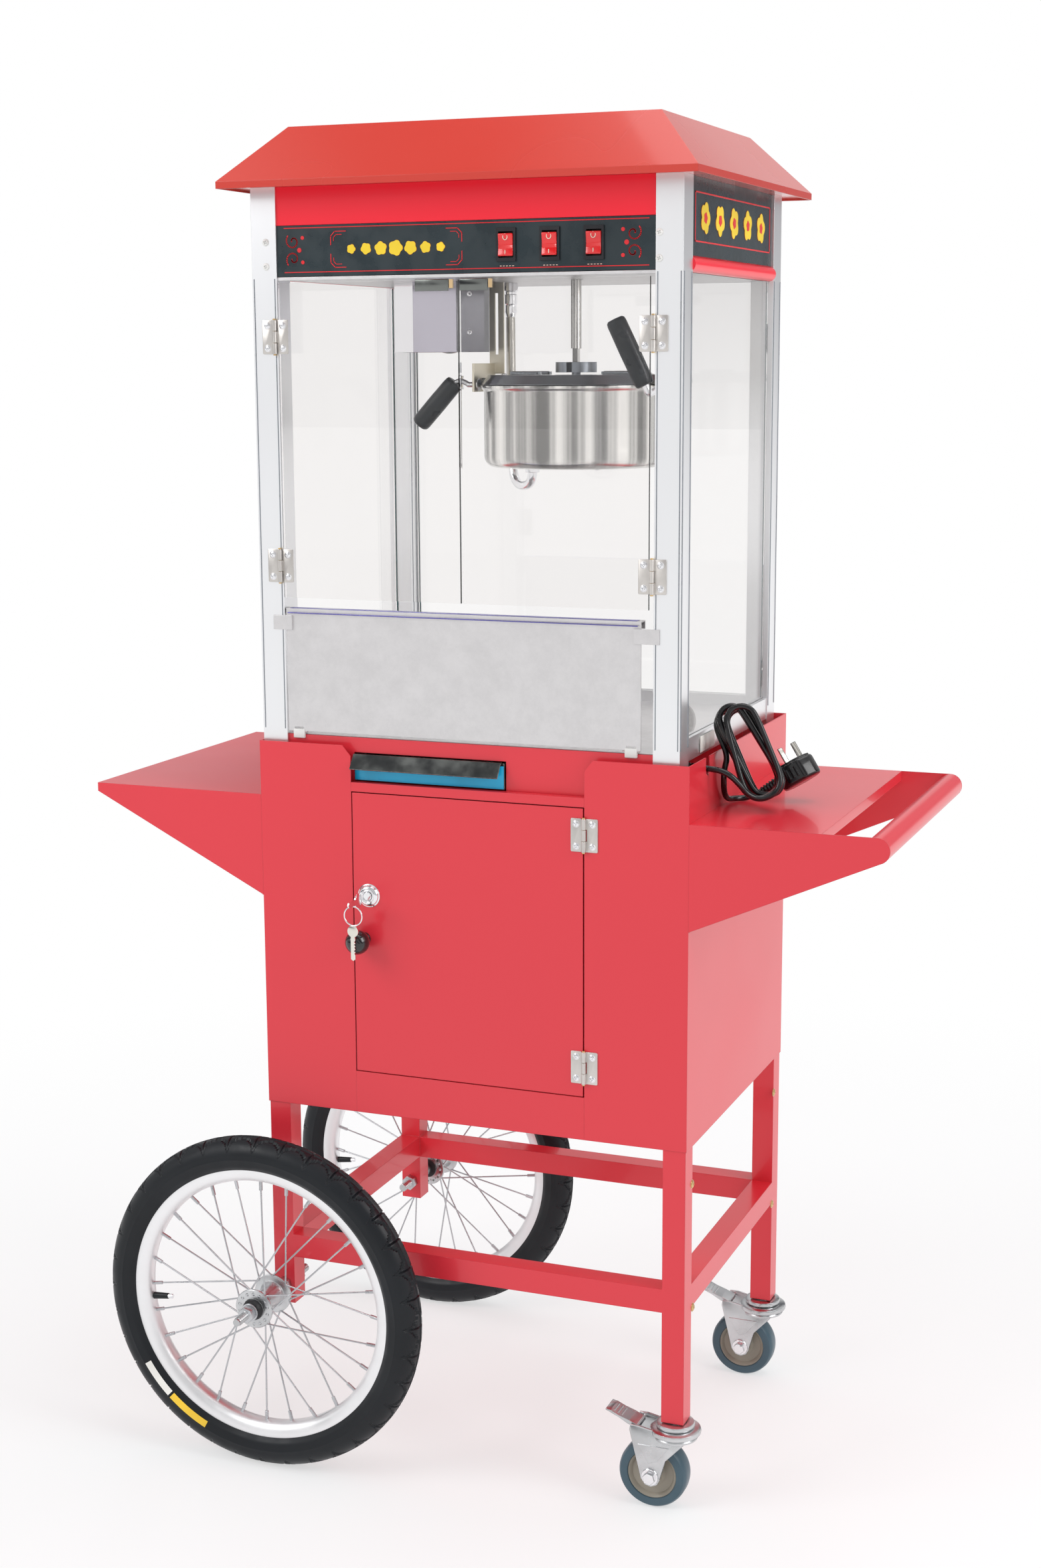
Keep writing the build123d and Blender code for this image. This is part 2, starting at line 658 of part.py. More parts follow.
def make_rockers():
    """The three rocker caps, each pressed in at its lower edge."""
    pivot_y = case_front + 5
    for name, centre_x in zip(rocker_names, rocker_centres):
        with BuildPart() as rocker:
            face = Plane(origin=(centre_x - 8, pivot_y, rocker_z), x_dir=(0, 1, 0), z_dir=(1, 0, 0))
            outline = [(-7.6, 11.4), (-4.6, 0), (-3.4, -12), (3, -11.4), (5, 0), (1, 11.6)]
            plate(face, outline, 16)
            rod((centre_x - 8.1, pivot_y, rocker_z), (centre_x + 8.1, pivot_y, rocker_z), 1.5)
        save(rocker, name)


def rectangle_loft(half_low, half_high, low_z, high_z, mode=Mode.ADD):
    """Add or cut a four-sided frustum over the case centre."""
    with BuildSketch(Plane((roof_centre_x, roof_centre_y, low_z))) as low_face:
        Rectangle(2 * half_low[0], 2 * half_low[1])
    with BuildSketch(Plane((roof_centre_x, roof_centre_y, high_z))) as high_face:
        Rectangle(2 * half_high[0], 2 * half_high[1])
    loft(sections=[low_face.sketch, high_face.sketch], mode=mode)


def make_roof():
    """Hipped sheet roof with an upright lip and a flange that sits on the posts."""
    eave = (eave_half_x, eave_half_y)
    crown = (crown_half_x, crown_half_y)
    inner = (eave_half_x - sheet, eave_half_y - sheet)
    crown_inner = (crown_half_x - sheet, crown_half_y - sheet)
    opening = (eave_half_x - 60, eave_half_y - 60)
    with BuildPart() as roof:
        rectangle_loft(eave, crown, eave_high, roof_top)
        rectangle_loft(eave, eave, eave_low, eave_high)
        rectangle_loft(inner, crown_inner, eave_high, roof_top - sheet, Mode.SUBTRACT)
        rectangle_loft(inner, inner, eave_low, eave_high, Mode.SUBTRACT)
        rectangle_loft(inner, inner, post_top, post_top + sheet)
        rectangle_loft(opening, opening, post_top, post_top + sheet, Mode.SUBTRACT)
    save(roof, "roof")


def make_base():
    """Red base box with the drawer opening, the floor sheet, and the crumb drawer."""
    left = bay_left
    right = bay_right
    front = case_front + 3
    back = case_back - 15
    with BuildPart() as base:
        block((left, front, deck_top), (right, back, base_top))
        block((left + sheet, front + sheet, deck_top + sheet), (right - sheet, back - sheet, base_top + 1),
              Mode.SUBTRACT)
        block((drawer_left - 1.2, front - 1, deck_top + sheet),
              (drawer_right + 1.2, front + 3, drawer_high + 2), Mode.SUBTRACT)
        for edge in (drawer_left - 1.5, drawer_right + 0.5):
            block((edge, front + sheet, deck_top + sheet), (edge + 1, front + drawer_depth, deck_top + 14))
        rod((right - 3, cord_exit_y, cord_exit_z), (right + 1, cord_exit_y, cord_exit_z), 6.1, Mode.SUBTRACT)
    save(base, "popper_base")
    with BuildPart() as floor:
        block((left, front + 2, base_top), (right, back, base_top + 1.5))
        block((case_left + 15, case_front + post_depth, base_top),
              (case_right - 15, case_back - post_depth, base_top + 1.5))
        with Locations(Plane((-50, -60, base_top + 1.5)).location):
            with GridLocations(22, 22, 8, 8):
                Hole(4.5, 4)
    save(floor, "corn_floor")
    face = case_front + 1
    with BuildPart() as drawer:
        block((drawer_left, face, drawer_low), (drawer_right, face + drawer_depth, drawer_high - 3))
        block((drawer_left + 1, face + 1, drawer_low + 1),
              (drawer_right - 1, face + drawer_depth - 1, drawer_high), Mode.SUBTRACT)
        block((drawer_left, face, drawer_high - 4), (drawer_right, face + 1, drawer_high))
        lip_face = Plane(origin=(drawer_left, 0, 0), x_dir=(0, 1, 0), z_dir=(1, 0, 0))
        outline = [(face + 1, drawer_high), (face + 1, drawer_high + 1), (face - 3, drawer_high + 1),
                   (face - 15, drawer_high - 14.5), (face - 14, drawer_high - 15.2),
                   (face - 2.4, drawer_high)]
        plate(lip_face, outline, drawer_right - drawer_left - 3)
    save(drawer, "crumb_drawer")
    with BuildPart() as feet:
        for centre_x in foot_centres:
            low_x = centre_x - foot_width / 2
            high_x = centre_x + foot_width / 2
            block((low_x, case_front, base_top - 4), (high_x, front, base_top))
            block((low_x, case_front, base_top), (high_x, front + 1.8, panel_low + 2.3))
            rod((low_x - 1, panel_pivot_y, panel_low), (high_x + 1, panel_pivot_y, panel_low),
                panel_pin_radius + running_gap, Mode.SUBTRACT)
    save(feet, "panel_feet")


def make_lamp():
    """Folded sheet lamp shade under the ceiling, and the bulb in its socket."""
    outline = [(-174, 12), (-132, -30), (-78, -30), (-54, -4), (-70, 34), (-70, 50), (-174, 50)]
    with BuildPart() as shade:
        plate(Plane((0, 0, shade_bottom)), outline, ceiling_bottom - shade_bottom)
        offset(amount=-sheet, openings=shade.faces().sort_by(Axis.Z)[0], kind=Kind.INTERSECTION)
    save(shade, "lamp_shade")
    with BuildPart() as bulb:
        with Locations((*bulb_centre, shade_bottom + 24)):
            Sphere(bulb_radius)
        rod((*bulb_centre, shade_bottom + 30), (*bulb_centre, shade_bottom + 59), 14)
        rod((*bulb_centre, shade_bottom + 53), (*bulb_centre, ceiling_bottom - sheet), 18)
    save(bulb, "lamp_bulb")


def make_doors():
    """Glass serving doors with their hinge halves and the catch plates on their top edges."""
    for name, pin_x, side in (("left", left_pin_x, 1), ("right", right_pin_x, -1)):
        low_x, high_x = sorted((pin_x + side * 4.5, meeting_x - side * 1.2))
        if side > 0:
            clip_low, clip_high = meeting_x - 50, meeting_x - 11
        else:
            clip_low, clip_high = meeting_x + 2, meeting_x + 34
        with BuildPart() as pane:
            block((low_x, case_front, glass_bottom), (high_x, case_front + glass, glass_top))
        save(pane, f"glass_door_{name}")
        with BuildPart() as fittings:
            for centre_z in glass_hinge_heights:
                hinge_leaf(pin_x, case_front, side, centre_z, False)
            block((clip_low, case_front - 1.2, glass_top - 11), (clip_high, case_front, glass_top + 1.2))
            hook_y = case_front + glass + 1
            block((clip_low, case_front - 1.2, glass_top), (clip_high, hook_y, glass_top + 1.2))
            block((clip_low, hook_y - 1, glass_top - 8), (clip_high, hook_y, glass_top))
        save(fittings, f"door_fittings_{name}")


def make_serving_panel():
    """Stainless tilt-out panel with an ear at each end that stops against the posts."""
    face_y = case_front + 1
    ear_y = case_front - 0.2
    ears = ((panel_left - 15, panel_left + 8), (panel_right - 8, panel_right + 21))
    steps = ((panel_left, panel_left + 8), (panel_right - 8, panel_right))
    with BuildPart() as panel:
        block((panel_left, face_y, panel_low), (panel_right, face_y + 1.2, panel_high))
        block((panel_left, face_y, panel_high - 1.2), (panel_right, face_y + 14, panel_high))
        block((panel_left, face_y + 12.8, panel_high - 9), (panel_right, face_y + 14, panel_high))
        for (ear_low, ear_high), (step_low, step_high) in zip(ears, steps):
            block((ear_low, ear_y - 1.2, panel_high - 24), (ear_high, ear_y, panel_high - 8))
            block((step_low, ear_y - 1.2, panel_high - 24), (step_high, face_y + 1, panel_high - 8))
        for centre_x in foot_centres:
            block((centre_x - foot_width / 2 - 0.5, face_y - 1, panel_low - 1),
                  (centre_x + foot_width / 2 + 0.5, face_y + 2, panel_low + 4.5), Mode.SUBTRACT)
            rod((centre_x - foot_width, panel_pivot_y, panel_low),
                (centre_x + foot_width, panel_pivot_y, panel_low), panel_pin_radius)
    save(panel, "serving_panel")


def dished_cover(rest_z):
    """Add the whole shallow cover of the kettle as a turned shell with its edge at a height."""
    plane = Plane(origin=(kettle_x, 0, 0), x_dir=(1, 0, 0), z_dir=(0, -1, 0))
    with BuildSketch(plane) as profile:
        with BuildLine():
            Polyline((0, lid_top), (100, lid_top), (pot_rim - 1, rest_z), (pot_rim - 2.6, rest_z),
                     (99.4, lid_top - sheet), (0, lid_top - sheet), close=True)
        make_face()
    revolve(profiles=profile.sketch, axis=Axis((kettle_x, 0, 0), (0, 0, 1)))


def make_kettle():
    """Spun pot, the bridge with its trunnions, and the two hinged lids."""
    centre_hole = hub_radius + 8.5
    hinge_y = 18.2
    hinge_z = lid_top + 1.9
    barrels = ((-70, -40), (40, 70))
    with BuildPart() as pot:
        plane = Plane(origin=(kettle_x, 0, 0), x_dir=(1, 0, 0), z_dir=(0, -1, 0))
        with BuildSketch(plane):
            with BuildLine():
                floor_z = pot_bottom + 24
                inner_radius = pot_radius - pot_wall
                Polyline((0, pot_bottom), (pot_radius - 14, pot_bottom), (pot_radius - 5, pot_bottom + 4),
                         (pot_radius, pot_bottom + 13), (pot_radius, pot_top - 4), (pot_rim, pot_top - 4),
                         (pot_rim, pot_top), (inner_radius, pot_top), (inner_radius, floor_z), (0, floor_z),
                         close=True)
            make_face()
        revolve(axis=Axis((kettle_x, 0, 0), (0, 0, 1)))
        for offset in (-29, 29):
            rod((kettle_x + offset, -10, pot_bottom - 4), (kettle_x + offset, -10, pot_bottom), 4)
    save(pot, "kettle_pot")
    far = pot_rim + 5
    with BuildPart() as bridge:
        dished_cover(pot_top)
        for side in (-1, 1):
            low_y, high_y = sorted((side * bridge_half, side * far))
            block((kettle_x - far, low_y, pot_top - 1), (kettle_x + far, high_y, lid_top + 1), Mode.SUBTRACT)
        rod((kettle_x, 0, lid_top - sheet), (kettle_x, 0, lid_top), centre_hole - 0.5)
        rod((kettle_x, 0, lid_top - 2), (kettle_x, 0, lid_top + 2), stirrer_radius + running_gap,
            Mode.SUBTRACT)
        for side in (-1, 1):
            start = (kettle_x + side * 101, 0, trunnion_z)
            rod(start, (kettle_x + side * 121, 0, trunnion_z), trunnion_radius)
            boss_x = kettle_x + side * 103
            block((boss_x - 3, -9, trunnion_z - 3), (boss_x + 3, 9, lid_top - 2))
            for low, high in barrels:
                pin_ends = [(kettle_x + end, side * hinge_y, hinge_z) for end in (low - 2, high + 2)]
                rod(*pin_ends, pin_radius)
                for ear in (kettle_x + low - 3, kettle_x + high + 0.6):
                    ear_y = sorted((side * (bridge_half - 3), side * (hinge_y + 1.6)))
                    block((ear, ear_y[0], lid_top + 0.2), (ear + 2.4, ear_y[1], hinge_z + 1.6))
                    root_y = sorted((side * (bridge_half - 3), side * bridge_half))
                    block((ear, root_y[0], lid_top - 1), (ear + 2.4, root_y[1], lid_top + 1))
    save(bridge, "kettle_bridge")
    for name, side in (("front", -1), ("back", 1)):
        with BuildPart() as lid:
            dished_cover(pot_top + 0.3)
            low_y, high_y = sorted((side * (bridge_half + lid_gap), -side * far))
            block((kettle_x - far, low_y, pot_top - 1), (kettle_x + far, high_y, lid_top + 1),
                  Mode.SUBTRACT)
            rod((kettle_x, 0, lid_top - 2), (kettle_x, 0, lid_top + 2), centre_hole + 0.3,
                Mode.SUBTRACT)
            notch_y = sorted((side * bridge_half, side * (hinge_y + 4.5)))
            for low, high in barrels:
                for ear in (low - 3, high + 0.6):
                    block((kettle_x + ear - 0.5, notch_y[0], lid_top - 2),
                          (kettle_x + ear + 2.9, notch_y[1], lid_top + 1), Mode.SUBTRACT)
            for low, high in barrels:
                barrel_ends = [(kettle_x + end, side * hinge_y, hinge_z) for end in (low, high)]
                rod(*barrel_ends, 2.2)
            for low, high in barrels:
                bore_ends = [(kettle_x + end, side * hinge_y, hinge_z) for end in (low - 1, high + 1)]
                rod(*bore_ends, pin_radius + running_gap, Mode.SUBTRACT)
        save(lid, f"kettle_lid_{name}")


def make_stirring_gear():
    """Drive shaft with a flat blade end, the stirrer it turns, and the motor above."""
    with BuildPart() as shaft:
        rod((kettle_x, 0, blade_low + 20), (kettle_x, 0, shaft_top), shaft_radius)
        block((kettle_x - blade_thickness / 2, -blade_width / 2, blade_low),
              (kettle_x + blade_thickness / 2, blade_width / 2, blade_low + 22))
    save(shaft, "drive_shaft")
    slot_half = blade_thickness / 2 + 0.2
    arm_z = pot_bottom + 25.5
    with BuildPart() as stirrer:
        rod((kettle_x, 0, hub_low), (kettle_x, 0, hub_high), hub_radius)
        block((kettle_x - slot_half, -hub_radius, blade_low - 1),
              (kettle_x + slot_half, hub_radius, hub_high + 1), Mode.SUBTRACT)
        for side in (-1, 1):
            low_y, high_y = sorted((side * blade_width / 2, side * hub_radius))
            block((kettle_x - slot_half, low_y, hub_low - 1),
                  (kettle_x + slot_half, high_y, hub_high + 1), Mode.SUBTRACT)
        rod((kettle_x, 0, arm_z), (kettle_x, 0, blade_low - 2), stirrer_radius)
        for angle in range(0, 360, 120):
            turn = math.radians(angle)
            tip = (kettle_x + 92 * math.cos(turn), 92 * math.sin(turn), arm_z + 3)
            rod((kettle_x, 0, arm_z + 3), tip, 2.6)
    save(stirrer, "stirrer")
    with BuildPart() as motor:
        block((kettle_x - 35, -30, ceiling_top), (kettle_x + 35, 60, ceiling_top + 45))
        rod((kettle_x, 38, ceiling_top + 40), (kettle_x, 38, ceiling_top + 90), 30)
        rod((kettle_x, 0, ceiling_top - 1), (kettle_x, 0, shaft_top + 1), shaft_radius + running_gap,
            Mode.SUBTRACT)
    save(motor, "drive_motor")


def make_hangers():
    """Slotted straps from the ceiling with the side plates that carry the kettle trunnions."""
    with BuildPart() as hangers:
        for side in (-1, 1):
            centre = kettle_x + side * 112
            strap = sorted((kettle_x + side * 103, kettle_x + side * 121))
            side_plate = sorted((kettle_x + side * 114.5, kettle_x + side * 117))
            block((strap[0], 37, trunnion_z + 8), (strap[1], 39, ceiling_bottom))
            block((centre - 2, 36, trunnion_z + 30), (centre + 2, 40, ceiling_bottom - 12), Mode.SUBTRACT)
            block((side_plate[0], -26, trunnion_z - 12), (side_plate[1], 38, trunnion_z + 20))
            hole_ends = [(kettle_x + side * along, 0, trunnion_z) for along in (113, 119)]
            rod(*hole_ends, trunnion_radius + running_gap, Mode.SUBTRACT)
            if side < 0:
                latch_ends = [(kettle_x + side * along, -17, trunnion_z - 4) for along in (113, 119)]
                rod(*latch_ends, 3 + running_gap, Mode.SUBTRACT)
    save(hangers, "kettle_hangers")


def bent_rod(points, radius, bends):
    """Add a round bar along straight runs joined by arcs."""
    with BuildLine() as route:
        FilletPolyline(*points, radius=bends)
    wire = route.wires()[0]
    with BuildSketch(Plane(origin=wire @ 0, z_dir=wire % 0)) as section:
        Circle(radius)
    sweep(sections=section.sketch, path=wire)
    return wire


def make_levers():
    """Dump handle on the right trunnion and latch lever on the left hanger plate."""
    right = kettle_x + 123
    with BuildPart() as handle:
        points = [(right + 2, 4, trunnion_z), (right + 4, -60, trunnion_z - 2),
                  (right + 5, -124, trunnion_z - 13), (right + 2, -128, trunnion_z - 4)]
        bent_rod(points, 4, [60, 5])
        grip_low = Vector(right + 2, -128, trunnion_z - 4)
        grip_high = Vector(right - 30, -136, trunnion_z + 66)
        rod(grip_low, grip_high, grip_radius)
        rod((right - 2, 0, trunnion_z), (right + 6, 0, trunnion_z), 9)
    save(handle, "dump_handle")
    left = kettle_x - 119
    with BuildPart() as latch:
        rod((left + 5, -17, trunnion_z - 4), (left - 8, -17, trunnion_z - 4), 3)
        rod((left + 4.6, -17, trunnion_z - 4), (left + 7.2, -17, trunnion_z - 4), 7)
        bend = Vector(left - 8, -17, trunnion_z - 4)
        grip_start = Vector(left - 22, -20, trunnion_z - 1)
        grip_end = Vector(left - 66, -24, trunnion_z - 50)
        rod(bend, grip_start, 3)
        rod(grip_start, grip_end, grip_radius)
    save(latch, "latch_lever")


def make_heater_lead():
    """Flexible metal conduit from the ceiling fitting to the elbow under the pot."""
    points = [(-48, 62, ceiling_bottom - 2), (-48, 63, 1240), (-46, 62, 1160), (-34, 50, 1132),
              (-12, 32, 1136), (-8, 28, pot_bottom - 6)]
    with BuildPart() as lead:
        bent_rod(points, 5.5, [60, 30, 16, 7])
        rod((-48, 62, ceiling_bottom - 40), (-48, 62, ceiling_bottom), 9)
        rod((-8, 28, pot_bottom - 8), (-8, 28, pot_bottom), 9)
    save(lead, "heater_conduit")


def corner_radii(points):
    """The largest arc that each corner of a route has room for."""
    corners = [Vector(*point) for point in points]
    radii = []
    for before, corner, after in zip(corners, corners[1:], corners[2:]):
        run_in = corner - before
        run_out = after - corner
        half_turn = math.radians(run_in.get_angle(run_out)) / 2
        radii.append(0.45 * min(run_in.length, run_out.length) / math.tan(half_turn))
    return radii


def make_cord():
    """Gland, the free stretches of the cord, the hank it is wound in, and the plug."""
    side_wall = bay_right
    with BuildPart() as gland:
        rod((side_wall - 4, cord_exit_y, cord_exit_z), (side_wall, cord_exit_y, cord_exit_z), 6)
        rod((side_wall, cord_exit_y, cord_exit_z), (side_wall + 4, cord_exit_y, cord_exit_z), 9)
        with Locations(Plane(origin=(side_wall + 4, cord_exit_y, cord_exit_z), z_dir=(1, 0, 0)).location):
            Cone(6.2, 4.4, gland_end_x - side_wall - 4, align=on_base)
    save(gland, "cord_gland")
    long_way = (hank_high - hank_low).normalized()
    across = (hank_normal - long_way * hank_normal.dot(long_way)).normalized()
    hank_plane = Plane(origin=(hank_low + hank_high) / 2, x_dir=long_way, z_dir=across)
    with BuildPart() as hank:
        with BuildSketch(hank_plane.offset(-hank_thickness / 2)) as outline:
            SlotOverall((hank_high - hank_low).length, hank_width)
        extrude(to_extrude=outline.sketch, amount=hank_thickness)
    with BuildPart() as cord:
        for points in (lead_points, tail_points):
            radii = corner_radii(points)
            wire = bent_rod(points, cord_radius, radii)
            print("cord stretch", round(wire.length, 1), "radii", [round(radius, 1) for radius in radii])
        add(hank.part, mode=Mode.SUBTRACT)
    print("cord volume", round(cord.part.volume), "solids", len(cord.part.solids()))
    save(cord, "power_cord")
    save(hank, "cord_hank")
    start = Vector(*tail_points[0])
    body_low = start + plug_axis.normalized() * relief_length
    length, width, height = plug_size
    plug_plane = Plane(origin=body_low, x_dir=plug_axis, z_dir=prong_axis)
    relief_plane = Plane(origin=start, z_dir=plug_axis)
    with BuildPart() as plug:
        with Locations(plug_plane.location):
            Box(length, width, height, align=(Align.MIN, Align.CENTER, Align.CENTER))
            for offset_x, offset_y in ((length - 12, 0), (length - 28, 8), (length - 28, -8)):
                with Locations((offset_x, offset_y, height / 2)):
                    Box(6, 2, 20, align=on_base)
        with Locations(relief_plane.location):
            Cone(4.4, 7, relief_length, align=on_base)
    save(plug, "power_plug")


os.makedirs("parts", exist_ok=True)
make_lower_frame()
make_cabinet()
make_left_shelf()
make_right_shelf()
make_wheel_axles()
for wheel_side, wheel_name in ((-1, "front"), (1, "back")):
    make_spoked_wheel(wheel_side, wheel_name)
    make_caster(wheel_side, wheel_name)
make_fixed_hinge_leaves()
make_cabinet_door()
make_case_frame()
make_glass_panes()
make_header()
make_rockers()
make_roof()
make_base()
make_lamp()
make_doors()
make_serving_panel()
make_kettle()
make_stirring_gear()
make_hangers()
make_levers()
make_heater_lead()
make_cord()
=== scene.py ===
"""Looks of the popcorn machine on its cart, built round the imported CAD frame. All lengths are in metres."""

import json
import math

import bmesh
import bpy
from mathutils import Matrix, Vector


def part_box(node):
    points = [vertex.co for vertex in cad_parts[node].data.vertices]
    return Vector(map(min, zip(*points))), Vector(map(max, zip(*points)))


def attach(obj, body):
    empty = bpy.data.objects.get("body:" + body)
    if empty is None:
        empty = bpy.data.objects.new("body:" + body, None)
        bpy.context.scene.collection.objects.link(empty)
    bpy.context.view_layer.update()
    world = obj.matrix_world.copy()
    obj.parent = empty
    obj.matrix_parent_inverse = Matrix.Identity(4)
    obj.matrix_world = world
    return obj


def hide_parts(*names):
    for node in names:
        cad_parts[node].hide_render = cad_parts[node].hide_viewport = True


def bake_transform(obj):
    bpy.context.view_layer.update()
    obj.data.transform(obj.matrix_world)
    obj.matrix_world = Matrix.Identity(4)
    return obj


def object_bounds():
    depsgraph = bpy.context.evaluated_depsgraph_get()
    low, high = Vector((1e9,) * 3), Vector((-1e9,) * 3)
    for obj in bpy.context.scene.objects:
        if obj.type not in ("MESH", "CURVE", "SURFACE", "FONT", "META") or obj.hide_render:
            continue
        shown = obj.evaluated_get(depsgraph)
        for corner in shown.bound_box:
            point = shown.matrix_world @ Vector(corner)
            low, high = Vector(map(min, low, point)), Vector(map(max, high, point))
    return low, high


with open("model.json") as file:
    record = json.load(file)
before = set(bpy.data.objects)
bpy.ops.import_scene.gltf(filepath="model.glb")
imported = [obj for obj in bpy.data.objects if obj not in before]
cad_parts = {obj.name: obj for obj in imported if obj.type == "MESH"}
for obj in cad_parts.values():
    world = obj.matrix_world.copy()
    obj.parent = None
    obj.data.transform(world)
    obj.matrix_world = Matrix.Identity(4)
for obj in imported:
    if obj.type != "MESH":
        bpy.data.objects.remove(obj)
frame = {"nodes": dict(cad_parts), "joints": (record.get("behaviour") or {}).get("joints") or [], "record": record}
CAD_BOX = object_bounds()
MM = 0.001
FULL_TURN = 2 * math.pi
RIGHT, BACK, UP, FRONT = (1, 0, 0), (0, 1, 0), (0, 0, 1), (0, -1, 0)
NODES = frame["nodes"]
JOINTS = {joint["name"]: joint for joint in frame["joints"]}


def add_node(tree, kind, inputs=None, **fields):
    """A node with some of its fields and inputs set."""
    made = tree.nodes.new(kind)
    for field, value in fields.items():
        setattr(made, field, value)
    for socket, value in (inputs or {}).items():
        made.inputs[socket].default_value = value
    return made


# ---------------------------------------------------------------- camera, light and floor


def place_camera():
    """A 52 mm lens in front of the right corner, a little above the kettle and looking down."""
    yaw, pitch, roll = (math.radians(angle) for angle in (21.49, 10.53, 0.29))
    forward = Vector((-math.sin(yaw) * math.cos(pitch), math.cos(yaw) * math.cos(pitch), -math.sin(pitch)))
    level = Vector((math.cos(yaw), math.sin(yaw), 0))
    below = forward.cross(level)
    right = level * math.cos(roll) + below * math.sin(roll)
    down = below * math.cos(roll) - level * math.sin(roll)
    camera = bpy.data.objects.new("camera", bpy.data.cameras.new("camera"))
    bpy.context.collection.objects.link(camera)
    camera.data.lens = 52.0
    camera.data.sensor_width = 36.0
    camera.data.clip_end = 100.0
    rotation = Matrix((right, -down, -forward)).transposed().to_4x4()
    camera.matrix_world = Matrix.Translation((0.9518, -2.4544, 1.2742)) @ rotation
    bpy.context.scene.camera = camera


def area_light(name, place, target, size, power, colour=(1, 1, 1)):
    """A square soft box that faces a point."""
    data = bpy.data.lights.new(name, "AREA")
    data.shape = "RECTANGLE"
    data.size, data.size_y = size
    data.energy = power
    data.color = colour
    lamp = bpy.data.objects.new(name, data)
    bpy.context.collection.objects.link(lamp)
    lamp.location = place
    lamp.rotation_mode = "QUATERNION"
    lamp.rotation_quaternion = (Vector(target) - Vector(place)).to_track_quat("-Z", "Y")


def light_studio():
    """White surroundings, soft boxes over and beside the cart, and darker gaps that metal can reflect."""
    world = bpy.data.worlds.new("studio")
    bpy.context.scene.world = world
    world.use_nodes = True
    tree = world.node_tree
    tree.nodes.clear()
    output = add_node(tree, "ShaderNodeOutputWorld")
    seen = add_node(tree, "ShaderNodeBackground", {"Color": (1, 1, 1, 1), "Strength": 1.0})
    around = add_node(tree, "ShaderNodeBackground", {"Strength": 0.82})
    coords = add_node(tree, "ShaderNodeTexCoord")
    gaps = add_node(tree, "ShaderNodeTexWave", {"Scale": 0.9, "Distortion": 3.0, "Detail": 1.0},
                    wave_type="BANDS", bands_direction="DIAGONAL")
    ramp = add_node(tree, "ShaderNodeValToRGB")
    dark, light = ramp.color_ramp.elements
    dark.position, dark.color = 0.12, (0.16, 0.16, 0.18, 1)
    light.position, light.color = 0.5, (1, 1, 1, 1)
    path = add_node(tree, "ShaderNodeLightPath")
    direct = add_node(tree, "ShaderNodeMath", operation="MAXIMUM")
    mix = add_node(tree, "ShaderNodeMixShader")
    link = tree.links.new
    link(coords.outputs["Generated"], gaps.inputs["Vector"])
    link(gaps.outputs["Color"], ramp.inputs["Fac"])
    link(ramp.outputs["Color"], around.inputs["Color"])
    link(path.outputs["Is Camera Ray"], direct.inputs[0])
    link(path.outputs["Is Transmission Ray"], direct.inputs[1])
    link(direct.outputs["Value"], mix.inputs["Fac"])
    link(around.outputs["Background"], mix.inputs[1])
    link(seen.outputs["Background"], mix.inputs[2])
    link(mix.outputs["Shader"], output.inputs["Surface"])
    area_light("key_box", (-2.6, -2.8, 3.2), (0, 0, 0.8), (2.2, 2.2), 70)
    area_light("top_box", (0.6, 0.4, 4.0), (0, 0, 0.6), (2.6, 2.6), 44)
    area_light("right_box", (3.4, -0.6, 2.6), (0, 0, 0.9), (1.6, 2.4), 56)
    bpy.context.scene.view_settings.view_transform = "Standard"


FLOOR_REACH = 40.0


def lay_floor():
    """A wide pale floor that fades into the white surroundings."""
    mesh = bpy.data.meshes.new("floor")
    low = CAD_BOX[0].z
    corners = [(x * FLOOR_REACH, y * FLOOR_REACH, low) for x, y in ((-1, -1), (1, -1), (1, 1), (-1, 1))]
    mesh.from_pydata(corners, [], [(0, 1, 2, 3)])
    floor = bpy.data.objects.new("floor", mesh)
    bpy.context.collection.objects.link(floor)
    material = bpy.data.materials.new("floor")
    material.use_nodes = True
    tree = material.node_tree
    shader = tree.nodes["Principled BSDF"]
    shader.inputs["Base Color"].default_value = (0.93, 0.93, 0.94, 1)
    shader.inputs["Roughness"].default_value = 0.7
    coords = add_node(tree, "ShaderNodeTexCoord")
    reach_from_cart = add_node(tree, "ShaderNodeVectorMath", operation="LENGTH")
    fade = add_node(tree, "ShaderNodeMapRange", {"From Min": 0.55, "From Max": 2.0, "To Min": 0.58},
                    interpolation_type="SMOOTHSTEP")
    glow = add_node(tree, "ShaderNodeEmission")
    mix = add_node(tree, "ShaderNodeMixShader")
    link = tree.links.new
    link(coords.outputs["Object"], reach_from_cart.inputs[0])
    link(reach_from_cart.outputs["Value"], fade.inputs["Value"])
    link(fade.outputs["Result"], mix.inputs["Fac"])
    link(shader.outputs["BSDF"], mix.inputs[1])
    link(glow.outputs["Emission"], mix.inputs[2])
    link(mix.outputs["Shader"], tree.nodes["Material Output"].inputs["Surface"])
    mesh.materials.append(material)


# ---------------------------------------------------------------- materials


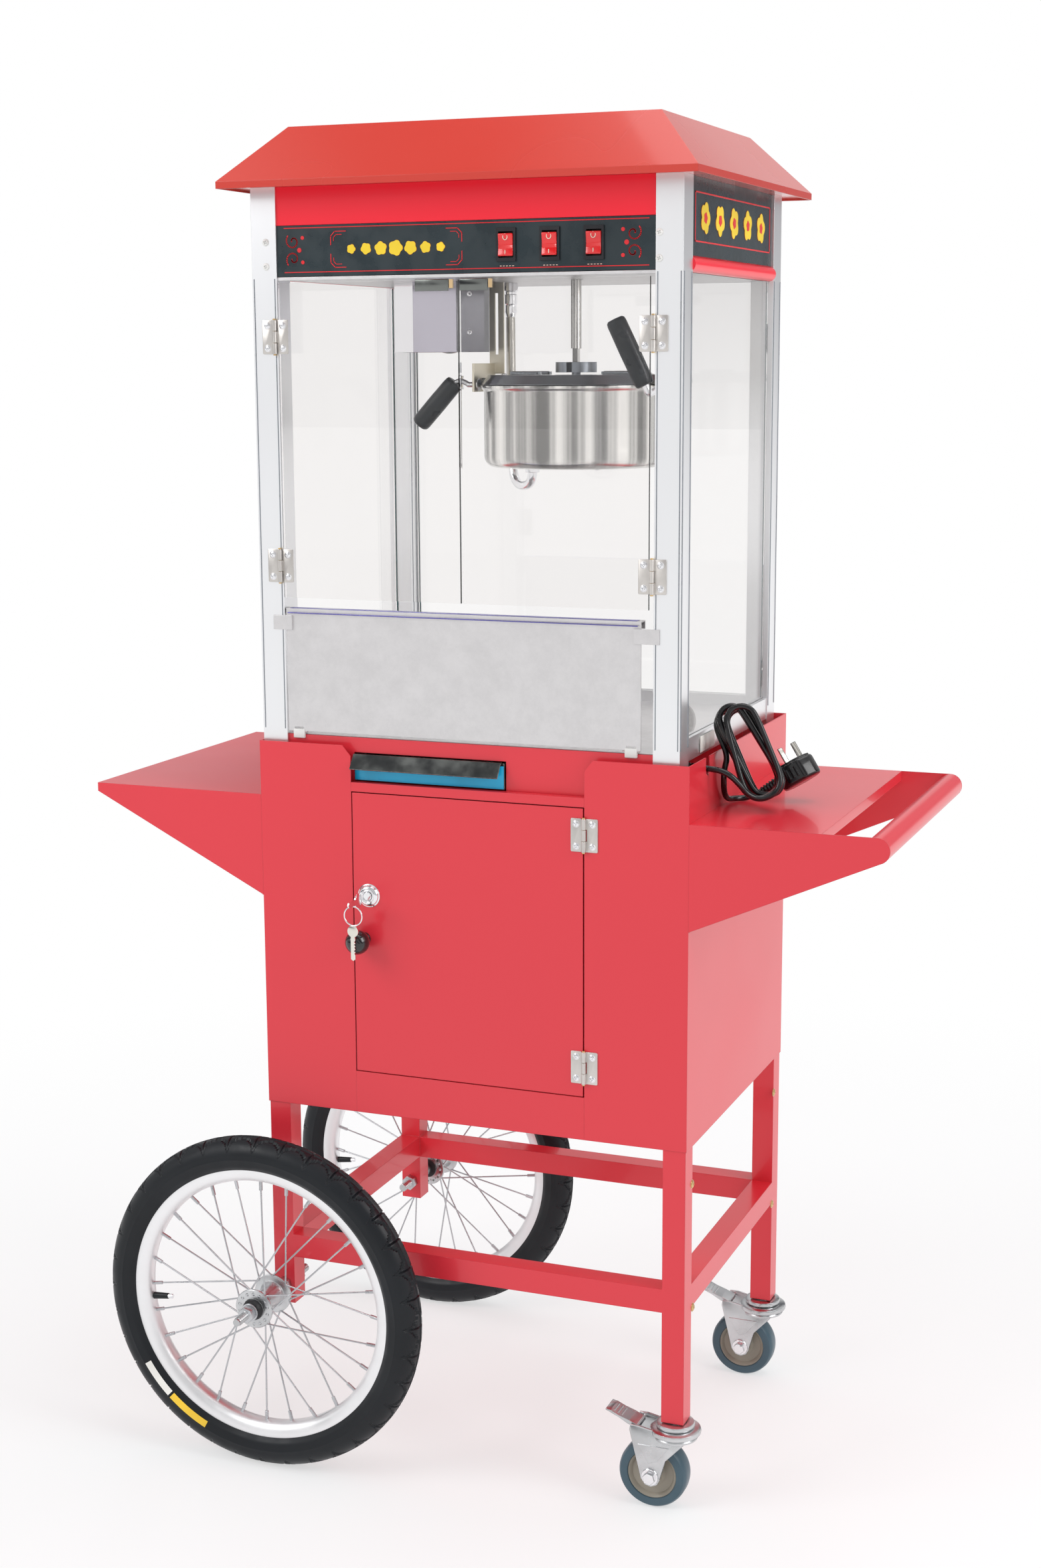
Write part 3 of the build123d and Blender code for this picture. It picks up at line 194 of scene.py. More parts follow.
class Paint:
    """A Principled material and the texture nodes that feed it."""

    def __init__(self, name, colour, roughness, metallic=0.0, coat=0.0, bevel=0.0):
        self.material = bpy.data.materials.new(name)
        self.material.use_nodes = True
        self.tree = self.material.node_tree
        self.shader = self.tree.nodes["Principled BSDF"]
        self.coords = self.tree.nodes.new("ShaderNodeTexCoord")
        self.place = self.coords.outputs["Object"]
        self.colour = colour
        self.normal = None
        self.shader.inputs["Base Color"].default_value = (*colour, 1)
        self.shader.inputs["Roughness"].default_value = roughness
        self.shader.inputs["Metallic"].default_value = metallic
        if coat:
            self.shader.inputs["Coat Weight"].default_value = coat
            self.shader.inputs["Coat Roughness"].default_value = 0.06
        if bevel:
            edge = self.node("ShaderNodeBevel", {"Radius": bevel}, samples=4)
            self.normal = edge.outputs["Normal"]
            self.link(self.normal, self.shader.inputs["Normal"])

    def node(self, kind, inputs=None, **fields):
        """A node with some of its fields and inputs set."""
        return add_node(self.tree, kind, inputs, **fields)

    def link(self, start, end):
        """Joins two sockets."""
        self.tree.links.new(start, end)

    def stretch(self, scale):
        """Object coordinates scaled along each axis."""
        mapping = self.node("ShaderNodeMapping", {"Scale": scale})
        self.link(self.place, mapping.inputs["Vector"])
        return mapping.outputs["Vector"]

    def noise(self, scale, detail=2.0, rough=0.5, vector=None):
        """A noise field over the object."""
        made = self.node("ShaderNodeTexNoise", {"Scale": scale, "Detail": detail, "Roughness": rough})
        self.link(vector or self.place, made.inputs["Vector"])
        return made.outputs["Fac"]

    def spread(self, value, low, high, start=0.3, stop=0.7):
        """A value remapped to a new range."""
        made = self.node("ShaderNodeMapRange",
                         {"From Min": start, "From Max": stop, "To Min": low, "To Max": high},
                         interpolation_type="SMOOTHERSTEP")
        self.link(value, made.inputs["Value"])
        return made.outputs["Result"]

    def tint(self, value, low, high, start=0.3, stop=0.7):
        """Base colour between two shades of the paint's own colour."""
        ramp = self.node("ShaderNodeValToRGB")
        ramp.color_ramp.interpolation = "EASE"
        first, last = ramp.color_ramp.elements
        first.position, last.position = start, stop
        first.color = (*[channel * low for channel in self.colour], 1)
        last.color = (*[min(1.0, channel * high) for channel in self.colour], 1)
        self.link(value, ramp.inputs["Fac"])
        self.link(ramp.outputs["Color"], self.shader.inputs["Base Color"])
        return ramp.outputs["Color"]

    def gloss(self, value, low, high):
        """Roughness that varies over the surface."""
        self.link(self.spread(value, low, high), self.shader.inputs["Roughness"])

    def bump(self, value, strength, depth):
        """Relief from a field, on top of what is there."""
        made = self.node("ShaderNodeBump", {"Strength": strength, "Distance": depth})
        self.link(value, made.inputs["Height"])
        if self.normal:
            self.link(self.normal, made.inputs["Normal"])
        self.normal = made.outputs["Normal"]
        self.link(self.normal, self.shader.inputs["Normal"])


def enamel(name, colour, roughness=0.3, coat=0.25):
    """Glossy powder coat with a faint orange peel and small shade changes."""
    paint = Paint(name, colour, roughness, coat=coat, bevel=0.0012)
    paint.tint(paint.noise(2.2, 1), 0.97, 1.03, 0.0, 1.0)
    soft = paint.spread(paint.noise(5, 2), roughness - 0.02, roughness + 0.04, 0.0, 1.0)
    paint.link(soft, paint.shader.inputs["Roughness"])
    paint.bump(paint.noise(380, 2), 0.02, 0.0002)
    return paint.material


def rolled_metal(name, colour, roughness, scale, coat=0.0, contrast=0.08, bevel=0.0006):
    """Metal with fine lines along one direction: the scale is low along the lines."""
    paint = Paint(name, colour, roughness, metallic=1.0, coat=coat, bevel=bevel)
    lines = paint.noise(1.0, 4, 0.6, paint.stretch(scale))
    paint.tint(lines, 1 - contrast, 1 + contrast)
    paint.gloss(lines, roughness - 0.06, roughness + 0.08)
    paint.bump(lines, 0.12, 0.0001)
    return paint.material


def cast_metal(name, colour, roughness, grain=160, contrast=0.1):
    """Plated or spun metal with a faint cloudy finish."""
    paint = Paint(name, colour, roughness, metallic=1.0, bevel=0.0006)
    clouds = paint.noise(18, 4, 0.6)
    paint.tint(clouds, 1 - contrast, 1 + contrast)
    paint.gloss(clouds, roughness - 0.05, roughness + 0.1)
    paint.bump(paint.noise(grain, 3), 0.05, 0.0002)
    return paint.material


def drawn_aluminium():
    """Satin extrusion, nearly white, with very fine lines along its length."""
    paint = Paint("post_aluminium", (0.90, 0.905, 0.92), 0.33, metallic=0.9, bevel=0.0006)
    paint.tint(paint.noise(3, 2), 0.97, 1.03, 0.15, 0.85)
    paint.gloss(paint.noise(2, 1), 0.31, 0.36)
    paint.bump(paint.noise(1.0, 2, 0.5, paint.stretch((900, 900, 4))), 0.02, 0.0001)
    return paint.material


def spun_steel_painted_reflections(name, colour, roughness):
    """Polished pot steel whose wall shows broad upright streaks of painted reflection, soft where they meet."""
    paint = Paint(name, colour, roughness, metallic=1.0, bevel=0.0006)
    split = paint.node("ShaderNodeSeparateXYZ")
    paint.link(paint.coords.outputs["Normal"], split.inputs["Vector"])
    turn = paint.node("ShaderNodeMath", operation="ARCTAN2")
    paint.link(split.outputs["Y"], turn.inputs[0])
    paint.link(split.outputs["X"], turn.inputs[1])
    round_wall = paint.node("ShaderNodeCombineXYZ")
    paint.link(turn.outputs["Value"], round_wall.inputs["X"])
    painted_reflection_streaks = paint.noise(3.4, 3, 0.55, round_wall.outputs["Vector"])
    level = paint.node("ShaderNodeMath", operation="ABSOLUTE")
    paint.link(split.outputs["Z"], level.inputs[0])
    wall_only = paint.node("ShaderNodeMix", {"B": 0.53}, data_type="FLOAT")
    paint.link(level.outputs["Value"], wall_only.inputs["Factor"])
    paint.link(painted_reflection_streaks, wall_only.inputs["A"])
    # Base colour 0.30 to 1.22 times the steel round the wall: painted reflection streaks.
    paint.tint(wall_only.outputs["Result"], 0.30, 1.22, 0.40, 0.60)
    paint.gloss(paint.noise(40, 3), roughness - 0.03, roughness + 0.05)
    lines = paint.noise(1.0, 3, 0.6, paint.stretch((30, 30, 900)))
    paint.bump(lines, 0.05, 0.0001)
    return paint.material


def metal_painted_by_facing(name, axis, roughness, painted_light_stops):
    """Sheet metal whose base colour follows the way a facet faces along one axis, from -1 to 1: painted reflection
    and shade.
    """
    paint = Paint(name, (0.8, 0.8, 0.8), roughness, metallic=1.0, bevel=0.0006)
    split = paint.node("ShaderNodeSeparateXYZ")
    paint.link(paint.coords.outputs["Normal"], split.inputs["Vector"])
    facing = paint.node("ShaderNodeMapRange", {"From Min": -1.0})
    paint.link(split.outputs[axis], facing.inputs["Value"])
    # Colour by facing: painted reflection and shade on what is the same metal on every facet.
    ramp = paint.node("ShaderNodeValToRGB")
    elements = ramp.color_ramp.elements
    for number, (way, colour) in enumerate(painted_light_stops):
        place = (way + 1) / 2
        stop = elements[number] if number < 2 else elements.new(place)
        stop.position, stop.color = place, (*colour, 1)
    paint.link(facing.outputs["Result"], ramp.inputs["Fac"])
    paint.link(ramp.outputs["Color"], paint.shader.inputs["Base Color"])
    paint.gloss(paint.noise(12, 3), roughness - 0.02, roughness + 0.05)
    return paint.material


def mottled_steel():
    """Matt stainless with the blotches of a protective film that was peeled off."""
    paint = Paint("mottled_steel", (0.70, 0.685, 0.69), 0.38, metallic=0.85, bevel=0.0006)
    blots = paint.noise(26, 9, 0.8)
    paint.tint(blots, 0.94, 1.05, 0.3, 0.68)
    specks = paint.noise(90, 6, 0.75)
    paint.gloss(specks, 0.33, 0.44)
    paint.bump(specks, 0.05, 0.0002)
    return paint.material


def moulded(name, colour, roughness, grain=700, coat=0.0):
    """Moulded plastic or rubber with a fine texture."""
    paint = Paint(name, colour, roughness, coat=coat, bevel=0.0006)
    if max(colour) < 0.03:
        paint.shader.inputs["Specular IOR Level"].default_value = 0.32
    paint.tint(paint.noise(14, 3), 0.9, 1.12)
    paint.gloss(paint.noise(40, 4), roughness - 0.06, roughness + 0.08)
    paint.bump(paint.noise(grain, 2), 0.12, 0.0002)
    return paint.material


def pane_glass(name, colour, roughness=0.0):
    """Clear sheet glass with faint smears that roughen it."""
    paint = Paint(name, colour, roughness)
    paint.shader.inputs["Transmission Weight"].default_value = 1.0
    paint.shader.inputs["IOR"].default_value = 1.45
    paint.gloss(paint.noise(5, 5, 0.65), 0.0, 0.012)
    paint.tint(paint.noise(3, 2), 0.99, 1.0)
    return paint.material


MATERIALS = {
    "red_enamel": enamel("red_enamel", (0.74, 0.030, 0.048)),
    "red_header": enamel("red_header", (0.92, 0.006, 0.028), 0.3, 0.15),
    "black_paint": moulded("black_paint", (0.02, 0.02, 0.022), 0.35),
    "dark_panel": moulded("dark_panel", (0.012, 0.024, 0.030), 0.3, 900),
    "post_aluminium": drawn_aluminium(),
    "steel_sheet": mottled_steel(),
    # The pot's steel: upright streaks of painted reflection in its base colour.
    "kettle_steel": spun_steel_painted_reflections("kettle_steel", (0.76, 0.75, 0.73), 0.2),
    "dark_steel": cast_metal("dark_steel", (0.20, 0.21, 0.20), 0.16),
    "chrome": cast_metal("chrome", (0.86, 0.86, 0.88), 0.08, contrast=0.04),
    "zinc": cast_metal("zinc", (0.60, 0.61, 0.62), 0.26, 240, contrast=0.16),
    "hinge_steel": cast_metal("hinge_steel", (0.66, 0.63, 0.60), 0.38),
    "tyre_rubber": moulded("tyre_rubber", (0.007, 0.009, 0.012), 0.42, 500),
    "caster_rubber": moulded("caster_rubber", (0.050, 0.095, 0.125), 0.36, 500),
    "grip_plastic": moulded("grip_plastic", (0.012, 0.017, 0.022), 0.32, 900),
    "bezel_plastic": moulded("bezel_plastic", (0.02, 0.02, 0.024), 0.3, 900),
    "rocker_red": moulded("rocker_red", (0.72, 0.012, 0.014), 0.14, 300, coat=0.6),
    "foot_plastic": moulded("foot_plastic", (0.82, 0.82, 0.80), 0.5),
    "clear_glass": pane_glass("clear_glass", (0.955, 0.945, 0.94)),
    "lamp_glass": pane_glass("lamp_glass", (0.98, 0.97, 0.93), 0.25),
    "cord_rubber": moulded("cord_rubber", (0.006, 0.006, 0.007), 0.24, 600, coat=0.5),
    # Lamp shade facets: whitish, lavender and dark by how they face, as painted reflections.
    "mirror_painted_reflections": metal_painted_by_facing("mirror_painted_reflections", "X", 0.12, [
        (-0.8, (0.90, 0.90, 0.92)), (0.8, (0.14, 0.14, 0.15)), (0.0, (0.55, 0.53, 0.60))]),
    # Kettle lids and bridge: upward faces painted bright and sloped faces painted dark, as painted highlight and
    # shade.
    "lid_steel_painted_shade": metal_painted_by_facing("lid_steel_painted_shade", "Z", 0.14, [
        (0.70, (0.24, 0.26, 0.28)), (0.95, (0.88, 0.88, 0.88))]),
    "cream_zinc": cast_metal("cream_zinc", (0.74, 0.69, 0.57), 0.34),
    "roof_enamel": enamel("roof_enamel", (0.60, 0.036, 0.020), 0.26, 0.5),
    "dull_steel": cast_metal("dull_steel", (0.26, 0.28, 0.31), 0.3),
    "knob_black": moulded("knob_black", (0.012, 0.012, 0.013), 0.1, 60, coat=0.8),
    "braid": cast_metal("braid", (0.62, 0.60, 0.56), 0.34, 900),
}
SIGN_CREAM = moulded("sign_cream", (0.80, 0.76, 0.62), 0.4, 900)
SIGN_YELLOW = moulded("sign_yellow", (0.86, 0.62, 0.02), 0.4, 900)
GLASS_EDGE = moulded("glass_edge", (0.010, 0.085, 0.090), 0.15, 300, coat=0.5)
FOLD_BLUE = cast_metal("fold_blue", (0.16, 0.15, 0.42), 0.2)
ENAMEL_LINE = moulded("line_red", (0.72, 0.012, 0.02), 0.35, 900)
FILM_CYAN = moulded("film_cyan", (0.012, 0.40, 0.68), 0.16, 300)


# The lamp shade, kettle lids and bridge take materials with painted reflection and shade by facing.
OWN_LOOK = {"lamp_shade": "mirror_painted_reflections", "stirrer": "dull_steel", "kettle_hangers": "cream_zinc",
            "kettle_lid_front": "lid_steel_painted_shade", "kettle_lid_back": "lid_steel_painted_shade", "kettle_bridge": "lid_steel_painted_shade",
            "roof": "roof_enamel"}


def paint_frame():
    """Gives every CAD node the material of its slot in the record."""
    for part in frame["record"]["subparts"]:
        mesh = NODES[part["node"]].data
        mesh.materials.clear()
        own = OWN_LOOK.get(part["node"], part["material_slot"])
        mesh.materials.append(MATERIALS[own])


# ---------------------------------------------------------------- mesh building


def box_mm(node):
    """Lowest and highest corner of a CAD node, in millimetres."""
    low_corner, high_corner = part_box(node)
    return low_corner / MM, high_corner / MM


def point_mm(joint):
    """The point on a joint's axis, in millimetres."""
    return Vector(JOINTS[joint]["pos_m"]) / MM


class Shape:
    """A mesh made in millimetres in the part's frame. done() makes it a piece of the scene, in metres."""

    def __init__(self, name, *materials):
        self.name = name
        self.materials = materials
        self.bm = bmesh.new()
        self.index = 0

    def use(self, index):
        """Later faces take this material."""
        self.index = index
        return self

    def face(self, corners):
        """One face with the current material."""
        made = self.bm.faces.new(corners)
        made.material_index = self.index
        made.smooth = True
        return made

    def spin(self, profile, centre, axis, steps=64, closed=True, ripple=None):
        """A profile of (radius, along) points turned about an axis. ripple(turn, number) adds to a radius."""
        frame_of = Vector(axis).to_track_quat("Z", "X").to_matrix()
        rings = []
        for step in range(steps):
            turn = FULL_TURN * step / steps
            ring = []
            for number, (radius, along) in enumerate(profile):
                reach = radius + (ripple(turn, number) if ripple else 0.0)
                local = Vector((reach * math.cos(turn), reach * math.sin(turn), along))
                ring.append(self.bm.verts.new(Vector(centre) + frame_of @ local))
            rings.append(ring)
        count = len(profile)
        for step in range(steps):
            here, there = rings[step], rings[(step + 1) % steps]
            for number in range(count if closed else count - 1):
                after = (number + 1) % count
                self.face((here[number], there[number], there[after], here[after]))

    def skin(self, rows):
        """Joins closed rings of vertices, each to the next."""
        for here, there in zip(rows, rows[1:]):
            for step in range(len(here)):
                after = (step + 1) % len(here)
                self.face((here[step], here[after], there[after], there[step]))

    def bar(self, start, end, radius, steps=20, end_radius=None, edge=0.3):
        """A round bar with slightly broken ends."""
        start, end = Vector(start), Vector(end)
        length = (end - start).length
        last = radius if end_radius is None else end_radius
        profile = [(0, 0), (radius - edge, 0), (radius, edge), (last, length - edge), (last - edge, length),
                   (0, length)]
        self.spin(profile, start, end - start, steps, closed=False)

    def tube(self, points, radius, steps=14, ends=True):
        """A round tube along close points. The radius is a number or one number per point."""
        points = [Vector(point) for point in points]
        radii = radius if isinstance(radius, list) else [radius] * len(points)
        side = None
        rings = []
        for number, point in enumerate(points):
            before = points[max(number - 1, 0)]
            after = points[min(number + 1, len(points) - 1)]
            along = (after - before).normalized()
            if side is None:
                side = along.orthogonal().normalized()
            side = (side - along * side.dot(along)).normalized()
            across = along.cross(side)
            rings.append([
                self.bm.verts.new(point + radii[number] * (side * math.cos(turn) + across * math.sin(turn)))
                for turn in (FULL_TURN * step / steps for step in range(steps))])
        self.skin(rings)
        if ends:
            self.face(list(reversed(rings[0])))
            self.face(rings[-1])

    def prism(self, outline, place, thickness, edge=0.0, segments=2):
        """A flat outline given thickness along the plane's normal, with its edges rounded."""
        lower = [self.bm.verts.new(place @ Vector((x, y, 0))) for x, y in outline]
        upper = [self.bm.verts.new(place @ Vector((x, y, thickness))) for x, y in outline]
        made = [self.face(list(reversed(lower))), self.face(upper)]
        count = len(outline)
        for number in range(count):
            after = (number + 1) % count
            made.append(self.face((lower[number], lower[after], upper[after], upper[number])))
        if edge:
            edges = list(dict.fromkeys(found for face in made for found in face.edges))
            bmesh.ops.bevel(self.bm, geom=edges, offset=edge, segments=segments, profile=0.5, affect="EDGES",
                            clamp_overlap=True)

    def box(self, low_corner, high_corner, edge=0.4):
        """A box between two corners with its edges rounded."""
        (x0, y0, z0), (x1, y1, z1) = low_corner, high_corner
        self.prism([(x0, y0), (x1, y0), (x1, y1), (x0, y1)], Matrix.Translation((0, 0, z0)), z1 - z0, edge)

    def ball(self, centre, radius, squash=(1, 1, 1), steps=24):
        """A ball, or an egg where it is squashed along an axis."""
        half = steps // 2
        profile = [(radius * math.sin(math.pi * k / half), -radius * math.cos(math.pi * k / half))
                   for k in range(half + 1)]
        first = len(self.bm.verts)
        self.spin(profile, (0, 0, 0), UP, steps, closed=False)
        self.bm.verts.ensure_lookup_table()
        for vertex in self.bm.verts[first:]:
            vertex.co = Vector(centre) + Vector(a * b for a, b in zip(vertex.co, squash))

    def done(self, body, slot_name, *nodes, sharp=38):
        """The finished piece: rides on a body and may stand for CAD nodes. slot_name is not used."""
        bmesh.ops.remove_doubles(self.bm, verts=self.bm.verts, dist=0.0005)
        bmesh.ops.dissolve_degenerate(self.bm, edges=self.bm.edges, dist=0.0002)
        bmesh.ops.recalc_face_normals(self.bm, faces=self.bm.faces)
        bmesh.ops.scale(self.bm, vec=(MM, MM, MM), verts=self.bm.verts)
        mesh = bpy.data.meshes.new(self.name)
        self.bm.to_mesh(mesh)
        self.bm.free()
        for material in self.materials:
            mesh.materials.append(material)
        mesh.set_sharp_from_angle(angle=math.radians(sharp))
        piece = bpy.data.objects.new(self.name, mesh)
        bpy.context.collection.objects.link(piece)
        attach(piece, body)
        if nodes:
            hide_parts(*nodes)
        return piece


def plane_at(origin, x_axis, normal):
    """The matrix of a plane from its origin, its x axis and its normal."""
    x_axis, normal = Vector(x_axis).normalized(), Vector(normal).normalized()
    y_axis = normal.cross(x_axis)
    turn = Matrix((x_axis, y_axis, normal)).transposed().to_4x4()
    return Matrix.Translation(origin) @ turn


def front_plane(y):
    """A plane that faces the front, with its x axis to the right."""
    return plane_at((0, y, 0), RIGHT, FRONT)


def side_plane(x):
    """A plane that faces right, with its x axis to the back."""
    return plane_at((x, 0, 0), BACK, RIGHT)


def polar(radius, angle):
    """The point of a plane at a radius and an angle."""
    return radius * math.cos(angle), radius * math.sin(angle)


def regular(sides, radius, turn=0.0):
    """Corners of a regular polygon."""
    return [polar(radius, turn + FULL_TURN * number / sides) for number in range(sides)]


def mirrored(half):
    """A profile of (radius, along) points followed by its mirror image on the other side."""
    return [*half, *((radius, -along) for radius, along in reversed(half))]


def arc(centre, radius, start, stop, steps):
    """Points along an arc, with its angles in degrees."""
    found = []
    for number in range(steps + 1):
        angle = math.radians(start + (stop - start) * number / steps)
        found.append((centre[0] + radius * math.cos(angle), centre[1] + radius * math.sin(angle)))
    return found


def rounded(low_x, low_y, high_x, high_y, radius, steps=4):
    """Outline of a rectangle with round corners."""
    return (arc((high_x - radius, low_y + radius), radius, -90, 0, steps)
            + arc((high_x - radius, high_y - radius), radius, 0, 90, steps)
            + arc((low_x + radius, high_y - radius), radius, 90, 180, steps)
            + arc((low_x + radius, low_y + radius), radius, 180, 270, steps))


# ---------------------------------------------------------------- spoked wheels

RIM_WHITE = cast_metal("rim_silver", (0.90, 0.90, 0.91), 0.42, contrast=0.03)
SPOKE_STEEL = rolled_metal("spoke_steel", (0.56, 0.57, 0.59), 0.3, (60, 60, 60), contrast=0.04)
STICKER_WHITE = moulded("sticker_white", (0.86, 0.85, 0.80), 0.35)
STICKER_YELLOW = moulded("sticker_yellow", (0.90, 0.58, 0.04), 0.35)
WHEEL_RADIUS = 200.0
TYRE_RADIUS = 21.0
ARCHES = 36
TREAD_EDGE = 66
CENTRE_GROOVE = 4
SPOKES = 28
SPOKE_LEAN = 52
SPOKE_AT_RIM = 149
SPOKE_AT_HUB = 18
FLANGE_AWAY = 23.5
VALVE_ANGLE = 186


def tyre_section(steps):
    """Cross-section of the tyre from one bead round the tread to the other: (radius, along, tread share)."""
    centre = WHEEL_RADIUS - TYRE_RADIUS
    found = []
    for number in range(steps + 1):
        angle = -138 + 276 * number / steps
        turn = math.radians(angle)
        reach = centre + TYRE_RADIUS * math.cos(turn)
        across = (TYRE_RADIUS - 0.2) * math.sin(turn)
        rib = 0.5 if abs(abs(angle) - 96) < 4 or abs(abs(angle) - 118) < 4 else 0.0
        found.append((reach, across + math.copysign(rib, across), angle))
    return found


def make_tyre(side, name):
    """Tyre with an arched tread groove pattern on both shoulders and a blank label on its wall."""
    joint = f"wheel_{name}_spin"
    centre = point_mm(joint)
    centre.y = (box_mm(f"tyre_{name}")[0].y + box_mm(f"tyre_{name}")[1].y) / 2
    section = tyre_section(44)

    def groove(turn, number):
        """Depth of the tread pattern at a point of the section."""
        angle = abs(section[number][2]) if number < len(section) else 180
        if angle > TREAD_EDGE:
            return 0.0
        if angle < CENTRE_GROOVE:
            return -1.6
        share = (TREAD_EDGE - angle) / (TREAD_EDGE - CENTRE_GROOVE)
        along = (turn * ARCHES / FULL_TURN) % 1.0 - 0.5
        arch = 0.8 * math.sqrt(max(0.0, 1 - (2.1 * along) ** 2))
        cut = abs(share - arch) < 0.08 or abs(along) > 0.475
        return -2.0 if cut else 0.0

    inner = [(163.6, 10.0), (163.6, -10.0)]
    profile = [(reach, across) for reach, across, _ in section] + inner
    tyre = Shape(f"tyre_piece_{name}", MATERIALS["tyre_rubber"])
    tyre.spin(profile, centre, BACK, 900, ripple=groove)
    tyre.done(f"wheel_{name}", "tyre_rubber", f"tyre_{name}", sharp=30)
    label = Shape(f"tyre_label_{name}", STICKER_WHITE, STICKER_YELLOW)
    for index, start, stop in ((0, 212, 227), (1, 228, 246)):
        label.use(index)
        rows = []
        for number in range(13):
            turn = math.radians(start + (stop - start) * number / 12)
            row = []
            for wall in (96, 103, 110, 117):
                lift = math.radians(wall)
                reach = WHEEL_RADIUS - TYRE_RADIUS + (TYRE_RADIUS + 0.75) * math.cos(lift)
                across = side * (TYRE_RADIUS + 0.55) * math.sin(lift)
                row.append(label.bm.verts.new(centre + Vector((reach * math.cos(turn), across,
                                                               reach * math.sin(turn)))))
            rows.append(row)
        for here, there in zip(rows, rows[1:]):
            for number in range(3):
                label.face((here[number], there[number], there[number + 1], here[number + 1]))
    label.done(f"wheel_{name}", "tyre_rubber")


def make_wheel(side, name):
    """Rim, crossed spokes with nipples, hub flanges with dark discs as painted shade of drilled holes, dust caps
    and the valve.
    """
    centre = point_mm(f"wheel_{name}_spin")
    body = f"wheel_{name}"
    out = Vector((0, side, 0))
    rim = Shape(f"rim_{name}", RIM_WHITE)
    rim.spin(mirrored([(149, -3.5), (151, -7.5), (156, -10.4), (164.5, -11.6), (165.6, -12.4),
                       (165.6, -13.2), (164, -13.6), (155, -12.4), (150, -9), (147.6, -4)]), centre, BACK,
                       128)
    rim.done(body, "chrome", f"spoked_wheel_{name}", sharp=50)
    hub = Shape(f"hub_{name}", MATERIALS["zinc"], MATERIALS["black_paint"])
    hub.spin([(5.2, -25), (11, -25.4), (22.6, -25.2), (23.4, -24.4), (23.4, -22.4), (22.4, -21.8), (16, -21),
              (13.2, -17), (12.4, 0), (13.2, 17), (16, 21), (22.4, 21.8), (23.4, 22.4), (23.4, 24.4),
              (22.6, 25.2), (11, 25.4), (5.2, 25)], centre, out, 64)
    hub.use(1)
    hub.spin([(5.4, 25), (12.4, 25.2), (12.8, 26.4), (12, 29.6), (9.6, 32.4), (5.4, 33)], centre, out, 40)
    hub.spin([(5.4, -25), (12.4, -25.2), (12.6, -26.6), (9.2, -27.8), (5.4, -28)], centre, out, 40)
    spokes = Shape(f"spokes_{name}", SPOKE_STEEL, MATERIALS["dark_steel"])
    place = plane_at(centre, RIGHT, out)
    for index in range(SPOKES):
        angle = FULL_TURN * index / SPOKES
        lean = math.radians(SPOKE_LEAN if index % 4 < 2 else -SPOKE_LEAN)
        flange = FLANGE_AWAY if index % 2 else -FLANGE_AWAY
        at_hub, at_rim = polar(SPOKE_AT_HUB, angle + lean), polar(SPOKE_AT_RIM, angle)
        start, stop = place @ Vector((*at_hub, flange)), place @ Vector((*at_rim, 0))
        way = (stop - start).normalized()
        spokes.use(0)
        spokes.bar(start, stop, 1.0, 8, edge=0.1)
        spokes.bar(stop - way * 13, stop + way * 1.5, 2.1, 8, edge=0.4)
        outer = out * (1.9 if flange > 0 else -1.9)
        spokes.ball(start + outer * 0.6, 2.4, (1, 0.5, 1), 10)
    # Dark discs on the flange faces stand for drilled holes: painted shade, no hole is cut.
    for flange in (-25.35, 25.35):
        spokes.use(1)
        for index in range(SPOKES // 2):
            spot = place @ Vector((*polar(18.6, FULL_TURN * (index + 0.5) / (SPOKES // 2)), flange))
            spokes.bar(spot - out * 0.15, spot + out * 0.15, 1.5, 10, edge=0.05)
    valve = math.radians(VALVE_ANGLE)
    reach = Vector((math.cos(valve), 0, math.sin(valve)))
    hub.done(body, "zinc", sharp=35)
    spokes.done(body, "chrome", sharp=35)
    stem = Shape(f"valve_{name}", MATERIALS["tyre_rubber"], MATERIALS["chrome"])
    stem.bar(centre + reach * 150, centre + reach * 128, 4.2, 14, end_radius=3.4)
    stem.use(1)
    stem.bar(centre + reach * 129, centre + reach * 122, 2.6, 12)
    stem.done(body, "tyre_rubber")


def hexagon(shape, centre, axis, across, length):
    """A chamfered hexagon nut."""
    radius = across / math.sqrt(3)
    place = plane_at(centre, Vector(axis).orthogonal(), axis)
    shape.prism(regular(6, radius), place, length, 0.6, 2)


def thread(start_along, stop_along, radius, pitch=1.5):
    """Profile of a threaded bar between two places along its axis."""
    found = []
    along = start_along
    while along < stop_along - pitch:
        found += [(radius, along), (radius - 0.55, along + pitch / 2)]
        along += pitch
    return found


def make_axles():
    """Threaded through-bolts of the two big wheels, with nuts, washers and a spacer each."""
    end = box_mm("wheel_axles")[1].y
    bolts = Shape("axle_bolts", MATERIALS["zinc"], SPOKE_STEEL)
    for side in (-1, 1):
        name = "front" if side < 0 else "back"
        hub = point_mm(f"wheel_{name}_spin")
        root = Vector((hub.x, 0, hub.z))
        axis = Vector((0, side, 0))
        bolts.use(0)
        bolts.spin([(0, 142.5), (4.4, 142.5), *thread(143, 170, 5.0), (4.9, 170), (4.9, 284),
                    *thread(285, end - 1, 5.0),
                    (4.2, end), (0, end)], root, axis, 24, closed=False)
        bolts.spin([(5, 204.6), (7.5, 204.8), (7.5, 221.4), (5, 221.6)], root, axis, 24)
        bolts.use(1)
        for along, size, length in ((161.2, 17, 9), (196.4, 17, 8), (286.6, 17, 9)):
            hexagon(bolts, root + axis * along, axis, size, length)
        bolts.spin([(5, 284.4), (10.4, 284.6), (10.6, 285.6), (10.4, 286.4), (5, 286.5)], root, axis, 32)
    bolts.done("cart", "zinc", "wheel_axles", sharp=35)


# ---------------------------------------------------------------- mains cord and plug

